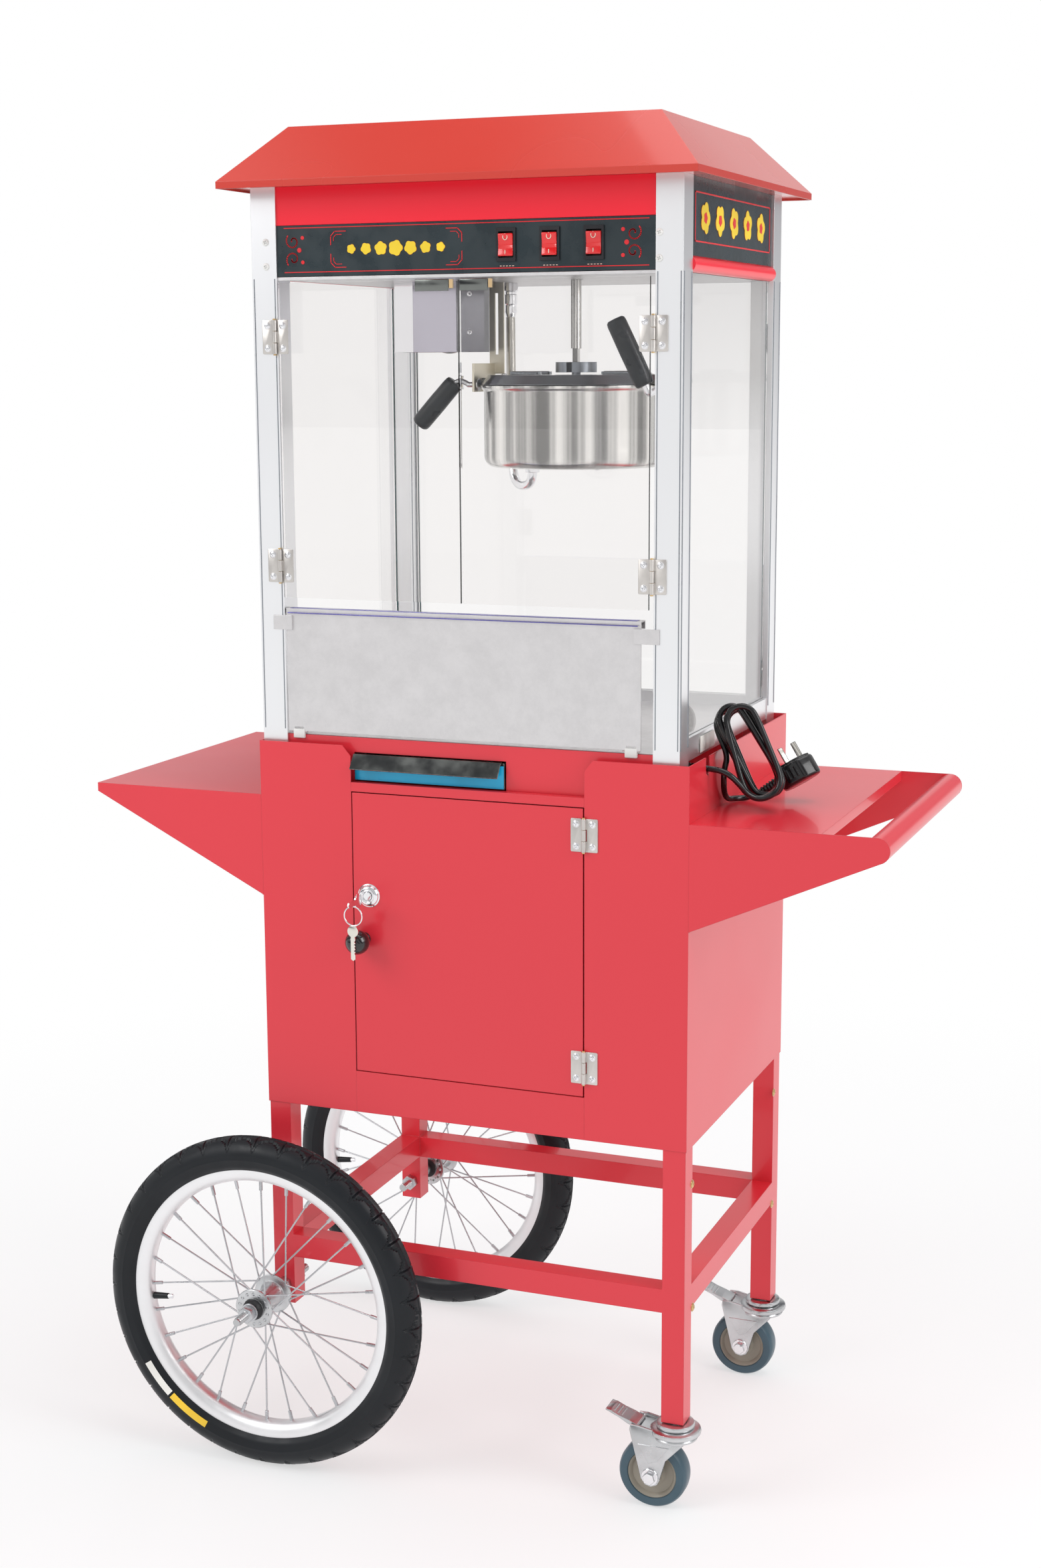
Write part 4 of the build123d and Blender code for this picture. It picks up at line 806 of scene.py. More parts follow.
NICKEL = cast_metal("nickel", (0.82, 0.79, 0.72), 0.2, contrast=0.06)
LEAD = [(0.247, -0.131, 0.841), (0.264, -0.131, 0.841), (0.279, -0.130, 0.836), (0.290, -0.1265, 0.825),
        (0.2975, -0.121, 0.813), (0.309, -0.115, 0.807)]
TAIL = [(0.292, -0.042, 0.8025), (0.2784, -0.0471, 0.795), (0.2656, -0.0562, 0.7954),
        (0.2606, -0.0702, 0.7966), (0.2604, -0.0825, 0.8048), (0.2613, -0.0895, 0.818),
        (0.262, -0.090, 0.8335), (0.265, -0.086, 0.849)]
HANK_LOW = Vector((313.0, -98.0, 797.5))
HANK_HIGH = Vector((265.5, -86.0, 905.0))
HANK_NORMAL = Vector((-0.33, 0.91, -0.25))
HANK_FRONT = -16.5
HANK_PITCH = 7.25
# Each loop: its lowest and highest reach, how far its two folds lean aside, and their half widths.
HANK_LOOPS = [(7, 113, 3, 5, 21, 17), (10, 117, 8, -3, 17, 14), (8, 111, 10, 5, 17, 15),
              (10, 117, 8, -3, 18, 15), (9, 116, 4, -2, 21, 19)]
CORD_RADIUS = 3.3
PLUG_AXIS = Vector((0.8, 0.3, 0.48)).normalized()
PRONG_AXIS = Vector((-0.55, 0.15, 0.82)).normalized()
RELIEF_LENGTH = 22.0


def ring_of_hank(low, high, low_side, high_side, low_fold, high_fold):
    """One stretched loop, from its lowest point up on the right and down on the left."""
    def fold(centre, side, radius, angles):
        turns = [math.radians(angle) for angle in angles]
        return [(centre + radius * math.sin(turn), side + radius * math.cos(turn)) for turn in turns]

    low_centre, high_centre = low + low_fold, high - high_fold
    rising = fold(low_centre, low_side, low_fold, (-72, -36, 0))
    over = fold(high_centre, high_side, high_fold, (0, 36, 72, 108, 144, 180))
    falling = fold(low_centre, low_side, low_fold, (180, 216, 252))
    middles = [tuple((a + b) / 2 for a, b in zip(*ends)) for ends in ((rising[-1], over[0]),
                                                                      (over[-1], falling[0]))]
    return [*rising, middles[0], *over, middles[1], *falling]


def hank_points():
    """Control points of the hank in metres. Each loop lies a cord's thickness behind the one before."""
    long_way = (HANK_HIGH - HANK_LOW).normalized()
    depth = (HANK_NORMAL - long_way * HANK_NORMAL.dot(long_way)).normalized()
    across = depth.cross(long_way)
    points = []
    for number, loop in enumerate(HANK_LOOPS):
        ring = ring_of_hank(*loop)
        shown = ring[:10] if number == len(HANK_LOOPS) - 1 else ring
        for step, (along, aside) in enumerate(shown):
            back = HANK_FRONT + HANK_PITCH * (number + step / len(ring))
            points.append((HANK_LOW + long_way * along + across * aside + depth * back) * MM)
    return points


def nurbs_route(name, points, radius):
    """A round cord on one smooth spline."""
    data = bpy.data.curves.new(name, "CURVE")
    data.dimensions = "3D"
    data.bevel_depth = radius * MM
    data.bevel_resolution = 6
    data.resolution_u = 10
    data.use_fill_caps = True
    spline = data.splines.new("NURBS")
    spline.points.add(len(points) - 1)
    for knot, point in zip(spline.points, points):
        knot.co = (*point, 1)
    spline.order_u = 3
    spline.use_endpoint_u = True
    made = bpy.data.objects.new(name, data)
    bpy.context.collection.objects.link(made)
    return made


def make_plug():
    """Moulded right-angle plug with a ribbed strain relief and three blades."""
    start = Vector(TAIL[0]) / MM
    plug = Shape("mains_plug", MATERIALS["cord_rubber"], NICKEL)
    relief = [(0, -1.5), (4.0, -1.5)]
    for rib in range(6):
        share = rib / 5
        base, crown = 3.7 + 2.1 * share, 4.8 + 2.3 * share
        along = 0.4 + rib * 3.7
        relief += [(base, along - 0.4), (crown, along), (crown, along + 1.9), (base, along + 2.3)]
    relief += [(7.2, RELIEF_LENGTH), (7.2, RELIEF_LENGTH + 2), (0, RELIEF_LENGTH + 2)]
    plug.spin(relief, start, PLUG_AXIS, 28, closed=False)
    place = plane_at(start + PLUG_AXIS * RELIEF_LENGTH, PLUG_AXIS, PRONG_AXIS)
    outline = [(0, -9), (9, -17.5), (29, -18), (42, -11), (46, -5), (46, 5), (42, 11), (29, 18), (9, 17.5),
               (0, 9)]
    plug.prism(outline, place @ Matrix.Translation((0, 0, -13)), 24, 3.4, 3)
    inner = [(2 + x * 0.9, y * 0.84) for x, y in outline]
    plug.prism(inner, place @ Matrix.Translation((0, 0, 9)), 4, 1.0, 2)
    for side in (-1, 1):
        for ridge in range(3):
            low_x = 11 + ridge * 5
            rib = [(low_x, side * 16.6), (low_x + 2.4, side * 16.6), (low_x + 2.4, side * 18.9),
                   (low_x, side * 18.9)]
            plug.prism(rib if side > 0 else rib[::-1], place @ Matrix.Translation((0, 0, -7)), 12, 0.7, 2)
    plug.use(1)
    for along, aside, turn in ((34, 0, 0), (18, 8, -30), (18, -8, 30)):
        spot = place @ Matrix.Translation((along, aside, 12)) @ Matrix.Rotation(math.radians(turn), 4, "Z")
        blade = [(-3.1, -0.8), (3.1, -0.8), (3.1, 0.8), (-3.1, 0.8)]
        plug.prism(blade, spot, 19.5, 0.5, 2)
    return plug.done("cart", "cord_rubber", "power_plug", sharp=42)


def make_mains_cord():
    """Ribbed gland, the cord with its looped hank on the right shelf, and the plug."""
    exit_point = Vector(LEAD[0]) / MM
    wall = box_mm("popper_base")[1].x
    gland = Shape("mains_gland", MATERIALS["cord_rubber"])
    profile = [(3.6, -4), (6, -4), (6, 0), (9, 0.2), (9, 3), (8.2, 4), (6.4, 4.2)]
    reach = exit_point.x - wall
    for rib in range(7):
        share = rib / 6
        along = 6.5 + rib * (reach - 9) / 7
        base, crown = 5.2 - 1.2 * share, 6.3 - 1.4 * share
        profile += [(base, along), (crown, along + 0.5), (crown, along + 2.2), (base, along + 2.8)]
    profile += [(4.3, reach - 0.6), (3.5, reach)]
    gland.spin(profile, (wall, exit_point.y, exit_point.z), RIGHT, 28, closed=False)
    gland.done("cart", "cord_rubber", "cord_gland")
    plug = make_plug()
    cord = nurbs_route("mains_cord", [*LEAD, *hank_points(), *reversed(TAIL)], CORD_RADIUS)
    cord.data.materials.append(MATERIALS["cord_rubber"])
    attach(cord, "cart")
    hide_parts("power_cord", "cord_hank")


# ---------------------------------------------------------------- screws and hinges

PIN_BRASS = cast_metal("pin_brass", (0.72, 0.52, 0.26), 0.3)
HINGE_LOOK = (MATERIALS["hinge_steel"], PIN_BRASS, MATERIALS["chrome"])
HINGE_LENGTH = 37.0
KNUCKLE = 2.6


def screw(shape, centre, axis, radius=3.2, dome=1.5, turn=0.4):
    """Pan-head screw with a cross recess, standing on a surface."""
    place = plane_at(centre, Vector(axis).orthogonal(), axis)
    rings, steps = 11, 36
    rows = []
    for ring in range(rings + 1):
        reach = radius * ring / rings
        row = []
        for step in range(steps):
            angle = FULL_TURN * step / steps
            x, y = reach * math.cos(angle), reach * math.sin(angle)
            cx, cy = (x * math.cos(turn) + y * math.sin(turn), -x * math.sin(turn) + y * math.cos(turn))
            height = dome * math.sqrt(max(0.0, 1 - 0.86 * (reach / radius) ** 2))
            near, far = sorted((abs(cx), abs(cy)))
            if near < 0.15 * radius and far < 0.62 * radius:
                height -= 0.62 * dome
            row.append(shape.bm.verts.new(place @ Vector((x, y, height))))
        rows.append(row)
    rows.append([shape.bm.verts.new(place @ Vector((radius * math.cos(FULL_TURN * step / steps),
                                                    radius * math.sin(FULL_TURN * step / steps), -0.4)))
                 for step in range(steps)])
    shape.skin(rows)
    shape.spin([(radius * 1.02, -0.2), (radius * 1.22, -0.2), (radius * 1.22, 0.12), (radius * 1.02, 0.12)],
               centre,
               axis, 28)


def hinge_half(shape, pin, side, fixed):
    """Leaf, knuckles and screws of half a butt hinge. pin is the middle of its pin, on a front face."""
    pin_x, pin_y, pin_z = pin
    face_y = pin_y + KNUCKLE
    near, far = pin_x + side * (KNUCKLE + 0.4), pin_x + side * (KNUCKLE + 13)
    low_x, high_x = sorted((near, far))
    third = HINGE_LENGTH / 3
    place = front_plane(face_y - 0.02)
    outline = rounded(low_x, pin_z - HINGE_LENGTH / 2, high_x, pin_z + HINGE_LENGTH / 2, 1.4)
    shape.use(0).prism(outline, place, 1.2, 0.35, 2)
    zones = ((-1.5 * third, -0.5 * third - 0.3), (0.5 * third + 0.3, 1.5 * third)) if fixed else (
        (-0.5 * third, 0.5 * third),)
    for low_z, high_z in zones:
        web_low, web_high = sorted((pin_x, near + side * 0.5))
        shape.box((web_low, face_y - 1.2, pin_z + low_z), (web_high, face_y - 0.02, pin_z + high_z), 0.2)
        shape.bar((pin_x, pin_y, pin_z + low_z), (pin_x, pin_y, pin_z + high_z), KNUCKLE, 24)
    if fixed:
        shape.use(1)
        for end in (-1, 1):
            tip = pin_z + end * 1.5 * third
            shape.bar((pin_x, pin_y, tip), (pin_x, pin_y, tip + end * 1.4), 1.9, 16)
        for gap in (-0.5, 0.5):
            shape.bar((pin_x, pin_y, pin_z + gap * third - 0.7), (pin_x, pin_y, pin_z + gap * third + 0.7),
                      1.9, 16)
    shape.use(2)
    for number, offset in enumerate((-third, third)):
        screw(shape, ((near + far) / 2, face_y - 1.2, pin_z + offset), FRONT, turn=0.3 + 0.5 * number)


def hinge_pins(joint, heights):
    """Middles of the pins of a door's hinges, from the joint's axis."""
    axis = point_mm(joint)
    return [(axis.x, axis.y, height) for height in heights]


GLASS_HINGES = (1303.5, 1052.5)
STORE_HINGES = (771.5, 509.8)


def make_hinges():
    """The hinge halves that stay on the posts and the cabinet."""
    fixed = Shape("hinge_leaves_fixed", *HINGE_LOOK)
    for joint, heights, side in (("glass_door_left_swing", GLASS_HINGES, -1),
                                 ("glass_door_right_swing", GLASS_HINGES, 1),
                                 ("store_door_swing", STORE_HINGES, 1)):
        for pin in hinge_pins(joint, heights):
            hinge_half(fixed, pin, side, True)
    fixed.done("cart", "hinge_steel", "fixed_hinge_leaves")


def make_door_fittings():
    """Hinge halves and the folded catch plates on the glass doors, with their foam pads."""
    pad = moulded("catch_pad", (0.60, 0.42, 0.22), 0.6, 200)
    for name, side in (("left", 1), ("right", -1)):
        fittings = Shape(f"door_hinges_{name}", *HINGE_LOOK)
        for pin in hinge_pins(f"glass_door_{name}_swing", GLASS_HINGES):
            hinge_half(fittings, pin, side, False)
        fittings.done(f"door_{name}", "dark_steel", f"door_fittings_{name}")
        pane_low, pane_high = box_mm(f"glass_door_{name}")
        low_x, high_x = (pane_high.x - 48.8, pane_high.x - 9.8) if side > 0 else (pane_low.x + 0.8,
                                                                                  pane_low.x + 32.8)
        top = pane_high.z
        catch = Shape(f"door_catch_{name}", MATERIALS["dark_steel"], pad)
        section = [(-2.2, -11.5), (-1.2, -11.5), (-1.2, 0.1), (4.1, 0.1), (4.1, -8), (5.1, -8), (5.1, 0.4),
                   (4.3, 1.2), (-1.4, 1.2), (-2.2, 0.4)]
        place = plane_at((low_x, pane_low.y, top), BACK, RIGHT)
        catch.prism(section, place, high_x - low_x, 0.25, 2)
        catch.use(1)
        catch.box((high_x + 0.3, pane_low.y - 1.6, top - 9), (high_x + 5.3, pane_low.y - 0.05, top + 0.8),
                  0.3)
        catch.done(f"door_{name}", "dark_steel")


# ---------------------------------------------------------------- cabinet door, lock and keys


def make_store_door_fittings():
    """Hinge halves, the black ball knob and the rim of the lock."""
    low_corner, _ = box_mm("cabinet_door")
    face_y = low_corner.y
    lock = point_mm("door_key_turn")
    fittings = Shape("store_door_hinges", *HINGE_LOOK)
    for pin in hinge_pins("store_door_swing", STORE_HINGES):
        hinge_half(fittings, pin, -1, False)
    fittings.use(2)
    lock_at = (lock.x, face_y, lock.z)
    fittings.spin([(5.3, -2), (5.3, 3.6), (6.2, 4.4), (7.2, 3.9), (7.8, 4.6), (9.4, 4.3), (11.6, 2.6),
                   (12.2, 0.6),
                   (12, 0)], lock_at, FRONT, 48, closed=False)
    fittings.spin([(12, 0.8), (13.4, 0.4), (13.6, 0), (12, 0)], lock_at, FRONT, 48)
    fittings.done("store_door", "hinge_steel", "cabinet_door_fittings")
    knob = Shape("store_door_knob", MATERIALS["knob_black"])
    knob_at = (-128.0, face_y, 633.0)
    knob.spin([(0, -0.5), (7.5, -0.5), (7.5, 1.5), (6, 3), (6, 6.5)]
              + [(14 * math.cos(math.radians(angle)), 19 + 14 * math.sin(math.radians(angle)))
                 for angle in range(-64, 90, 7)] + [(0, 33)], knob_at, FRONT, 48, closed=False)
    knob.done("store_door", "grip_plastic", sharp=60)


def key_outline(bow, shank, half_blade, teeth):
    """Outline of a flat key: a round bow above and a notched blade below."""
    outline = arc((0, 0), bow, 250, -70, 22)
    outline += [(half_blade, -bow - 2)]
    along = -bow - 4
    for number in range(teeth):
        outline += [(half_blade, along), (half_blade - 1.3 - 0.5 * (number % 2), along - 1.6),
                    (half_blade, along - 3.2)]
        along -= 3.4
    outline += [(half_blade, -shank + 2), (0, -shank), (-half_blade, -shank + 2), (-half_blade, -bow - 2)]
    return outline


def make_keys():
    """Key in the lock, the split ring and the spare key that hangs on it."""
    face_y = box_mm("cabinet_door")[0].y
    lock = point_mm("door_key_turn")
    keys = Shape("keys_and_ring", MATERIALS["chrome"], NICKEL)
    keys.spin([(0, 4.9), (4.4, 4.9), (5, 4.2), (5, -12), (0, -12)], (lock.x, face_y, lock.z), FRONT, 32,
              closed=False)
    keys.prism(key_outline(8.6, 26, 3.2, 0), plane_at((lock.x - 0.9, face_y - 29, lock.z), (0, 0, -1), RIGHT),
               1.8, 0.3, 2)
    ring_at = Vector((lock.x - 3, face_y - 36, lock.z - 16))
    circle = [ring_at + Vector((11 * math.cos(t), 0.5 * math.sin(t / 2), 11 * math.sin(t)))
              for t in (FULL_TURN * k / 60 for k in range(61))]
    keys.tube(circle, 0.85, 10)
    keys.use(1)
    spare = plane_at(ring_at + Vector((-0.4, 0.8, -17.5)), RIGHT, FRONT)
    keys.prism(key_outline(6.6, 34, 2.7, 5), spare, 1.8, 0.3, 2)
    keys.done("key", "chrome", "door_key")


# ---------------------------------------------------------------- kettle and its levers


def make_pot():
    """Spun pot with a rolled rim, a rounded foot and the feet of its heater under it."""
    axis = point_mm("stirrer_spin")
    rim, bottom = box_mm("kettle_pot")[1].z, 1158.0
    wall = 105.0
    profile = [(0, bottom + 0.8), (70, bottom + 0.4), (86, bottom)]
    profile += [(wall - 12 + 12 * math.cos(math.radians(angle)),
                 bottom + 12.5 + 12.5 * math.sin(math.radians(angle)))
                for angle in range(-80, 1, 10)]
    profile += [(wall, bottom + 20), (wall, rim - 8), (wall + 0.8, rim - 5.6), (wall + 2.6, rim - 4.4),
                (wall + 3.8, rim - 2.6), (wall + 3.6, rim - 0.8), (wall + 2, rim), (wall - 0.6, rim - 0.1),
                (wall - 1.5, rim - 1.6), (wall - 1.5, bottom + 28), (wall - 4, bottom + 24.6),
                (0, bottom + 24)]
    pot = Shape("pot_shell", MATERIALS["kettle_steel"], MATERIALS["chrome"])
    pot.spin(profile, (axis.x, axis.y, 0), UP, 160, closed=False)
    pot.use(1)
    for offset in (-29, 29):
        pot.spin([(0, -4), (2.6, -3.8), (3.6, -2.6), (3.8, 0.6)], (axis.x + offset, -10, bottom), UP, 20,
                 closed=False)
    pot.done("kettle", "kettle_steel", "kettle_pot", sharp=50)
    screws = Shape("bridge_screws", MATERIALS["chrome"])
    for side in (-1, 1):
        screw(screws, (axis.x + side * 88, 0, 1261.0), UP, 3.4, 1.6)
    screws.done("kettle", "kettle_steel")


def grip(shape, start, end, radius):
    """Moulded grip with a narrow neck and a domed end."""
    length = (Vector(end) - Vector(start)).length
    profile = [(0, 0), (radius * 0.72, 0), (radius * 0.86, 0.8), (radius * 0.93, 3), (radius * 0.97, 8),
               (radius, length * 0.5), (radius * 0.98, length - 6), (radius * 0.92, length - 2.4),
               (radius * 0.74, length - 0.6), (0, length)]
    shape.spin(profile, start, Vector(end) - Vector(start), 40, closed=False)


def curved(points, steps=10):
    """Smooth points through a list of corners, as a quadratic spline."""
    points = [Vector(point) for point in points]
    middles = [(a + b) / 2 for a, b in zip(points, points[1:])]
    found = [points[0]]
    for number in range(1, len(points) - 1):
        before, corner, after = middles[number - 1], points[number], middles[number]
        for step in range(steps + 1):
            share = step / steps
            found.append(before * (1 - share) ** 2 + corner * (2 * share * (1 - share)) + after * share ** 2)
    found.append(points[-1])
    return found


def make_levers():
    """The dump handle on the right trunnion and the latch lever on the left."""
    pivot = point_mm("kettle_tilt")
    right = pivot.x + 123
    z = pivot.z
    handle = Shape("dump_handle_rod", MATERIALS["chrome"], MATERIALS["grip_plastic"], MATERIALS["zinc"])
    rod = curved([(right + 2, 4, z), (right + 3, -30, z - 1), (right + 4, -62, z - 2),
                  (right + 5, -100, z - 8),
                  (right + 5, -124, z - 13), (right + 3.5, -127, z - 9), (right + 1, -128.4, z)])
    handle.tube(rod, 4.0, 16)
    handle.use(1)
    grip(handle, (right + 2, -128, z - 4), (right - 30, -136, z + 66), 11)
    handle.use(2)
    handle.spin([(0, -4.2), (8, -4), (8.8, -3), (8.8, 3.2), (8, 4.2), (0, 4.2)], (right + 2, 0, z), RIGHT, 32,
                closed=False)
    hexagon(handle, (right + 6, 0, z), RIGHT, 9, 4)
    handle.done("kettle", "grip_plastic", "dump_handle")
    latch_at = point_mm("latch_turn")
    left = pivot.x - 119
    latch = Shape("latch_rod", MATERIALS["zinc"], MATERIALS["grip_plastic"], MATERIALS["chrome"])
    pin = Vector((left, -17, latch_at.z))
    latch.spin([(0, -8), (2.6, -8), (3, -7), (3, 5), (0, 5)], pin, RIGHT, 20, closed=False)
    latch.spin([(0, 4.7), (6.6, 4.8), (7, 5.4), (7, 6.6), (6.4, 7.2), (0, 7.2)], pin, RIGHT, 28, closed=False)
    twist = curved([(left - 6, -17, z - 4), (left - 11, -17.4, z - 1), (left - 17, -19, z + 1),
                    (left - 25, -20.4, z - 4)], 8)
    latch.tube(twist, 2.9, 14)
    latch.use(2)
    latch.box((left - 16, -22.5, z - 9), (left - 13.6, -13, z + 6), 0.5)
    latch.use(1)
    grip(latch, (left - 22, -20, z - 1), (left - 66, -24, z - 50), 11)
    latch.done("latch", "grip_plastic", "latch_lever")


def make_conduit():
    """Braided conduit from its ceiling couplings to a plain elbow under the pot."""
    top = box_mm("heater_conduit")[1]
    couplings = Shape("conduit_couplings", MATERIALS["chrome"])
    at = Vector((-48, 62, 0))
    couplings.spin([(0, top.z), (8.6, top.z), (8.9, top.z - 1), (8.9, top.z - 9), (7.4, top.z - 10),
                    (7.0, top.z - 13),
                    (8.2, top.z - 13.6), (8.2, top.z - 24), (7.2, top.z - 25), (7.6, top.z - 33),
                    (6.6, top.z - 36),
                    (5.6, top.z - 39), (0, top.z - 39)], at, UP, 32, closed=False)
    couplings.done("cart", "chrome", "heater_conduit")
    route = curved([(-48, 62, top.z - 37), (-48, 62.5, 1290), (-48, 63, 1240), (-47.6, 63, 1200),
                    (-46, 62, 1166)], 60)
    braid = Shape("conduit_braid", MATERIALS["braid"])
    side = Vector(RIGHT)
    rings = []
    gone = 0.0
    steps, strands, pitch = 40, 10, 26.0
    for number, point in enumerate(route):
        if number:
            gone += (point - route[number - 1]).length
        along = (route[min(number + 1, len(route) - 1)] - route[max(number - 1, 0)]).normalized()
        flat = (side - along * side.dot(along)).normalized()
        across = along.cross(flat)
        ring = []
        for step in range(steps):
            turn = FULL_TURN * step / steps
            one = math.cos(strands / 2 * (turn + FULL_TURN * gone / pitch))
            two = math.cos(strands / 2 * (turn - FULL_TURN * gone / pitch))
            reach = 5.0 + 0.55 * max(abs(one), abs(two))
            ring.append(braid.bm.verts.new(point + (flat * math.cos(turn) + across * math.sin(turn)) * reach))
        rings.append(ring)
    braid.skin(rings)
    piece = braid.done("cart", "chrome")
    piece.parent = None
    piece.matrix_world = Matrix.Identity(4)
    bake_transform(piece)
    elbow = Shape("conduit_elbow", MATERIALS["chrome"])
    bend = curved([(-46, 62, 1170), (-46, 61.5, 1154), (-42, 57, 1140), (-33, 49, 1132.5),
                   (-21, 39.5, 1132.5),
                   (-11.5, 31.5, 1137), (-8, 28.3, 1146), (-8, 28, 1158)], 12)
    elbow.tube(bend, 5.4, 24)
    elbow.spin([(5.4, 1161), (7.2, 1161.6), (7.4, 1169), (6.2, 1171.5), (5.0, 1171.5)], (-46, 62, 0), UP, 28,
               closed=False)
    hexagon(elbow, (-8, 28, 1149), UP, 16, 7)
    elbow.done("kettle", "chrome")


# ---------------------------------------------------------------- casters

TREAD_CORE = moulded("caster_core", (0.30, 0.27, 0.22), 0.5)


def make_caster(name):
    """Swivel fork with its raceway, the blue-grey wheel in it and the upswept brake pedal."""
    axle = point_mm(f"caster_{name}_roll")
    swivel = point_mm(f"caster_{name}_swivel")
    pedal_pin = point_mm(f"brake_{name}_press")
    fork = Shape(f"caster_yoke_{name}", MATERIALS["zinc"], MATERIALS["chrome"])
    axis_at = (swivel.x, swivel.y, 0)
    fork.spin([(0, 97.6), (19, 97.8), (21.6, 99), (22, 101), (21, 103.6), (17, 104.8), (13, 104.2),
               (0, 103.8)],
              axis_at, UP, 56, closed=False)
    fork.spin([(12, 90), (26.6, 90.2), (28.8, 91.6), (29.2, 94), (28.4, 96.4), (25.4, 97.7), (12, 97.8)],
              axis_at, UP, 64)
    fork.spin([(12, 84.2), (22, 84.2), (25.2, 85.6), (26.2, 88), (25, 90), (12, 90)], axis_at, UP, 64)
    fork.use(1)
    hexagon(fork, (swivel.x, swivel.y, 80.4), UP, 16, 4.2)
    fork.bar((swivel.x, swivel.y, 104), (swivel.x, swivel.y, 129.5), 6, 24)
    fork.use(0)
    ear = [(axle.x - 11.5, axle.z - 3), (axle.x - 6, axle.z - 10.4), (axle.x + 1, axle.z - 12),
           (axle.x + 8, axle.z - 9), (axle.x + 11.6, axle.z - 2), (axle.x + 17, 62), (axle.x + 39, 84),
           (axle.x + 40, 90), (axle.x - 14, 99.5), (axle.x - 24, 99.5), (axle.x - 25, 93), (axle.x - 19, 70)]
    for hand in (-1, 1):
        place = front_plane(axle.y + hand * 17.25 + 1.25)
        fork.prism(ear, place, 2.5, 0.8, 2)
        crease = [(axle.x - 15, 78), (axle.x - 2, 56), (axle.x + 8, 60), (axle.x + 22, 78)]
        fork.use(0)
        lift = axle.y + hand * 18.4
        fork.prism(crease, front_plane(lift + (0.9 if hand > 0 else 0)), 0.9, 0.4, 2)
        fork.use(1)
        end = Vector((axle.x, axle.y + hand * 18.5, axle.z))
        fork.spin([(0, 0), (9.6, 0), (10, 0.5), (9.6, 1.4), (6.4, 1.6)], end, (0, hand, 0), 32, closed=False)
        hexagon(fork, end + Vector((0, hand * 1.2, 0)), (0, hand, 0), 13, 5.2)
        fork.use(0)
    fork.prism([(-19, -17.5), (17, -17.5), (17, 17.5), (-19, 17.5)],
               Matrix.Translation((swivel.x - 8, axle.y, 84.4)),
               3.2, 0.8, 2)
    fork.bar((pedal_pin.x, pedal_pin.y - 18, pedal_pin.z), (pedal_pin.x, pedal_pin.y + 18, pedal_pin.z), 1.5,
             14)
    fork.done(f"caster_{name}", "zinc", f"caster_fork_{name}", sharp=34)

    wheel = Shape(f"caster_tread_{name}", MATERIALS["caster_rubber"], TREAD_CORE, MATERIALS["zinc"])
    wheel.spin([(29, -12.4), (34, -13.2), (37.4, -12.2), (39.2, -9.6), (40, -5), (40, 5), (39.2, 9.6),
                (37.4, 12.2),
                (34, 13.2), (29, 12.4), (28.4, 11), (28.4, -11)], axle, BACK, 72)
    wheel.use(1)
    wheel.spin(mirrored([(28.6, -11), (27.6, -11.6), (26.4, -10.8), (24, -7.2), (15, -6.6), (12, -9),
                         (11.4, -13.4), (10.4, -14), (6.3, -14)]), axle, BACK, 72)
    wheel.use(2)
    wheel.spin([(4.9, -14.8), (6.1, -14.8), (6.1, 14.8), (4.9, 14.8)], axle, BACK, 28)
    wheel.done(f"caster_roller_{name}", "caster_rubber", f"caster_wheel_{name}", sharp=34)

    pedal = Shape(f"brake_lever_{name}", MATERIALS["zinc"])
    side_view = [(2, -3), (0, 1.6), (-10, 5.4), (-22, 9.2), (-32, 14), (-38.3, 15), (-38, 12.9), (-31, 11.6),
                 (-22, 6.8), (-12, 1.2), (-6, -1)]
    outline = [(pedal_pin.x + x, pedal_pin.z + z) for x, z in side_view]
    pedal.prism(outline, front_plane(axle.y + 13), 26, 0.8, 3)
    for ridge in range(3):
        along = -20 - 4.4 * ridge
        rise = 9.2 + (20 + 4.4 * ridge - 22) * 0.44
        pedal.bar((pedal_pin.x + along, axle.y - 9, pedal_pin.z + rise),
                  (pedal_pin.x + along, axle.y + 9, pedal_pin.z + rise), 0.9, 12)
    pedal.done(f"pedal_{name}", "zinc", f"brake_pedal_{name}", sharp=34)


# ---------------------------------------------------------------- lamp, signs, switches and case details


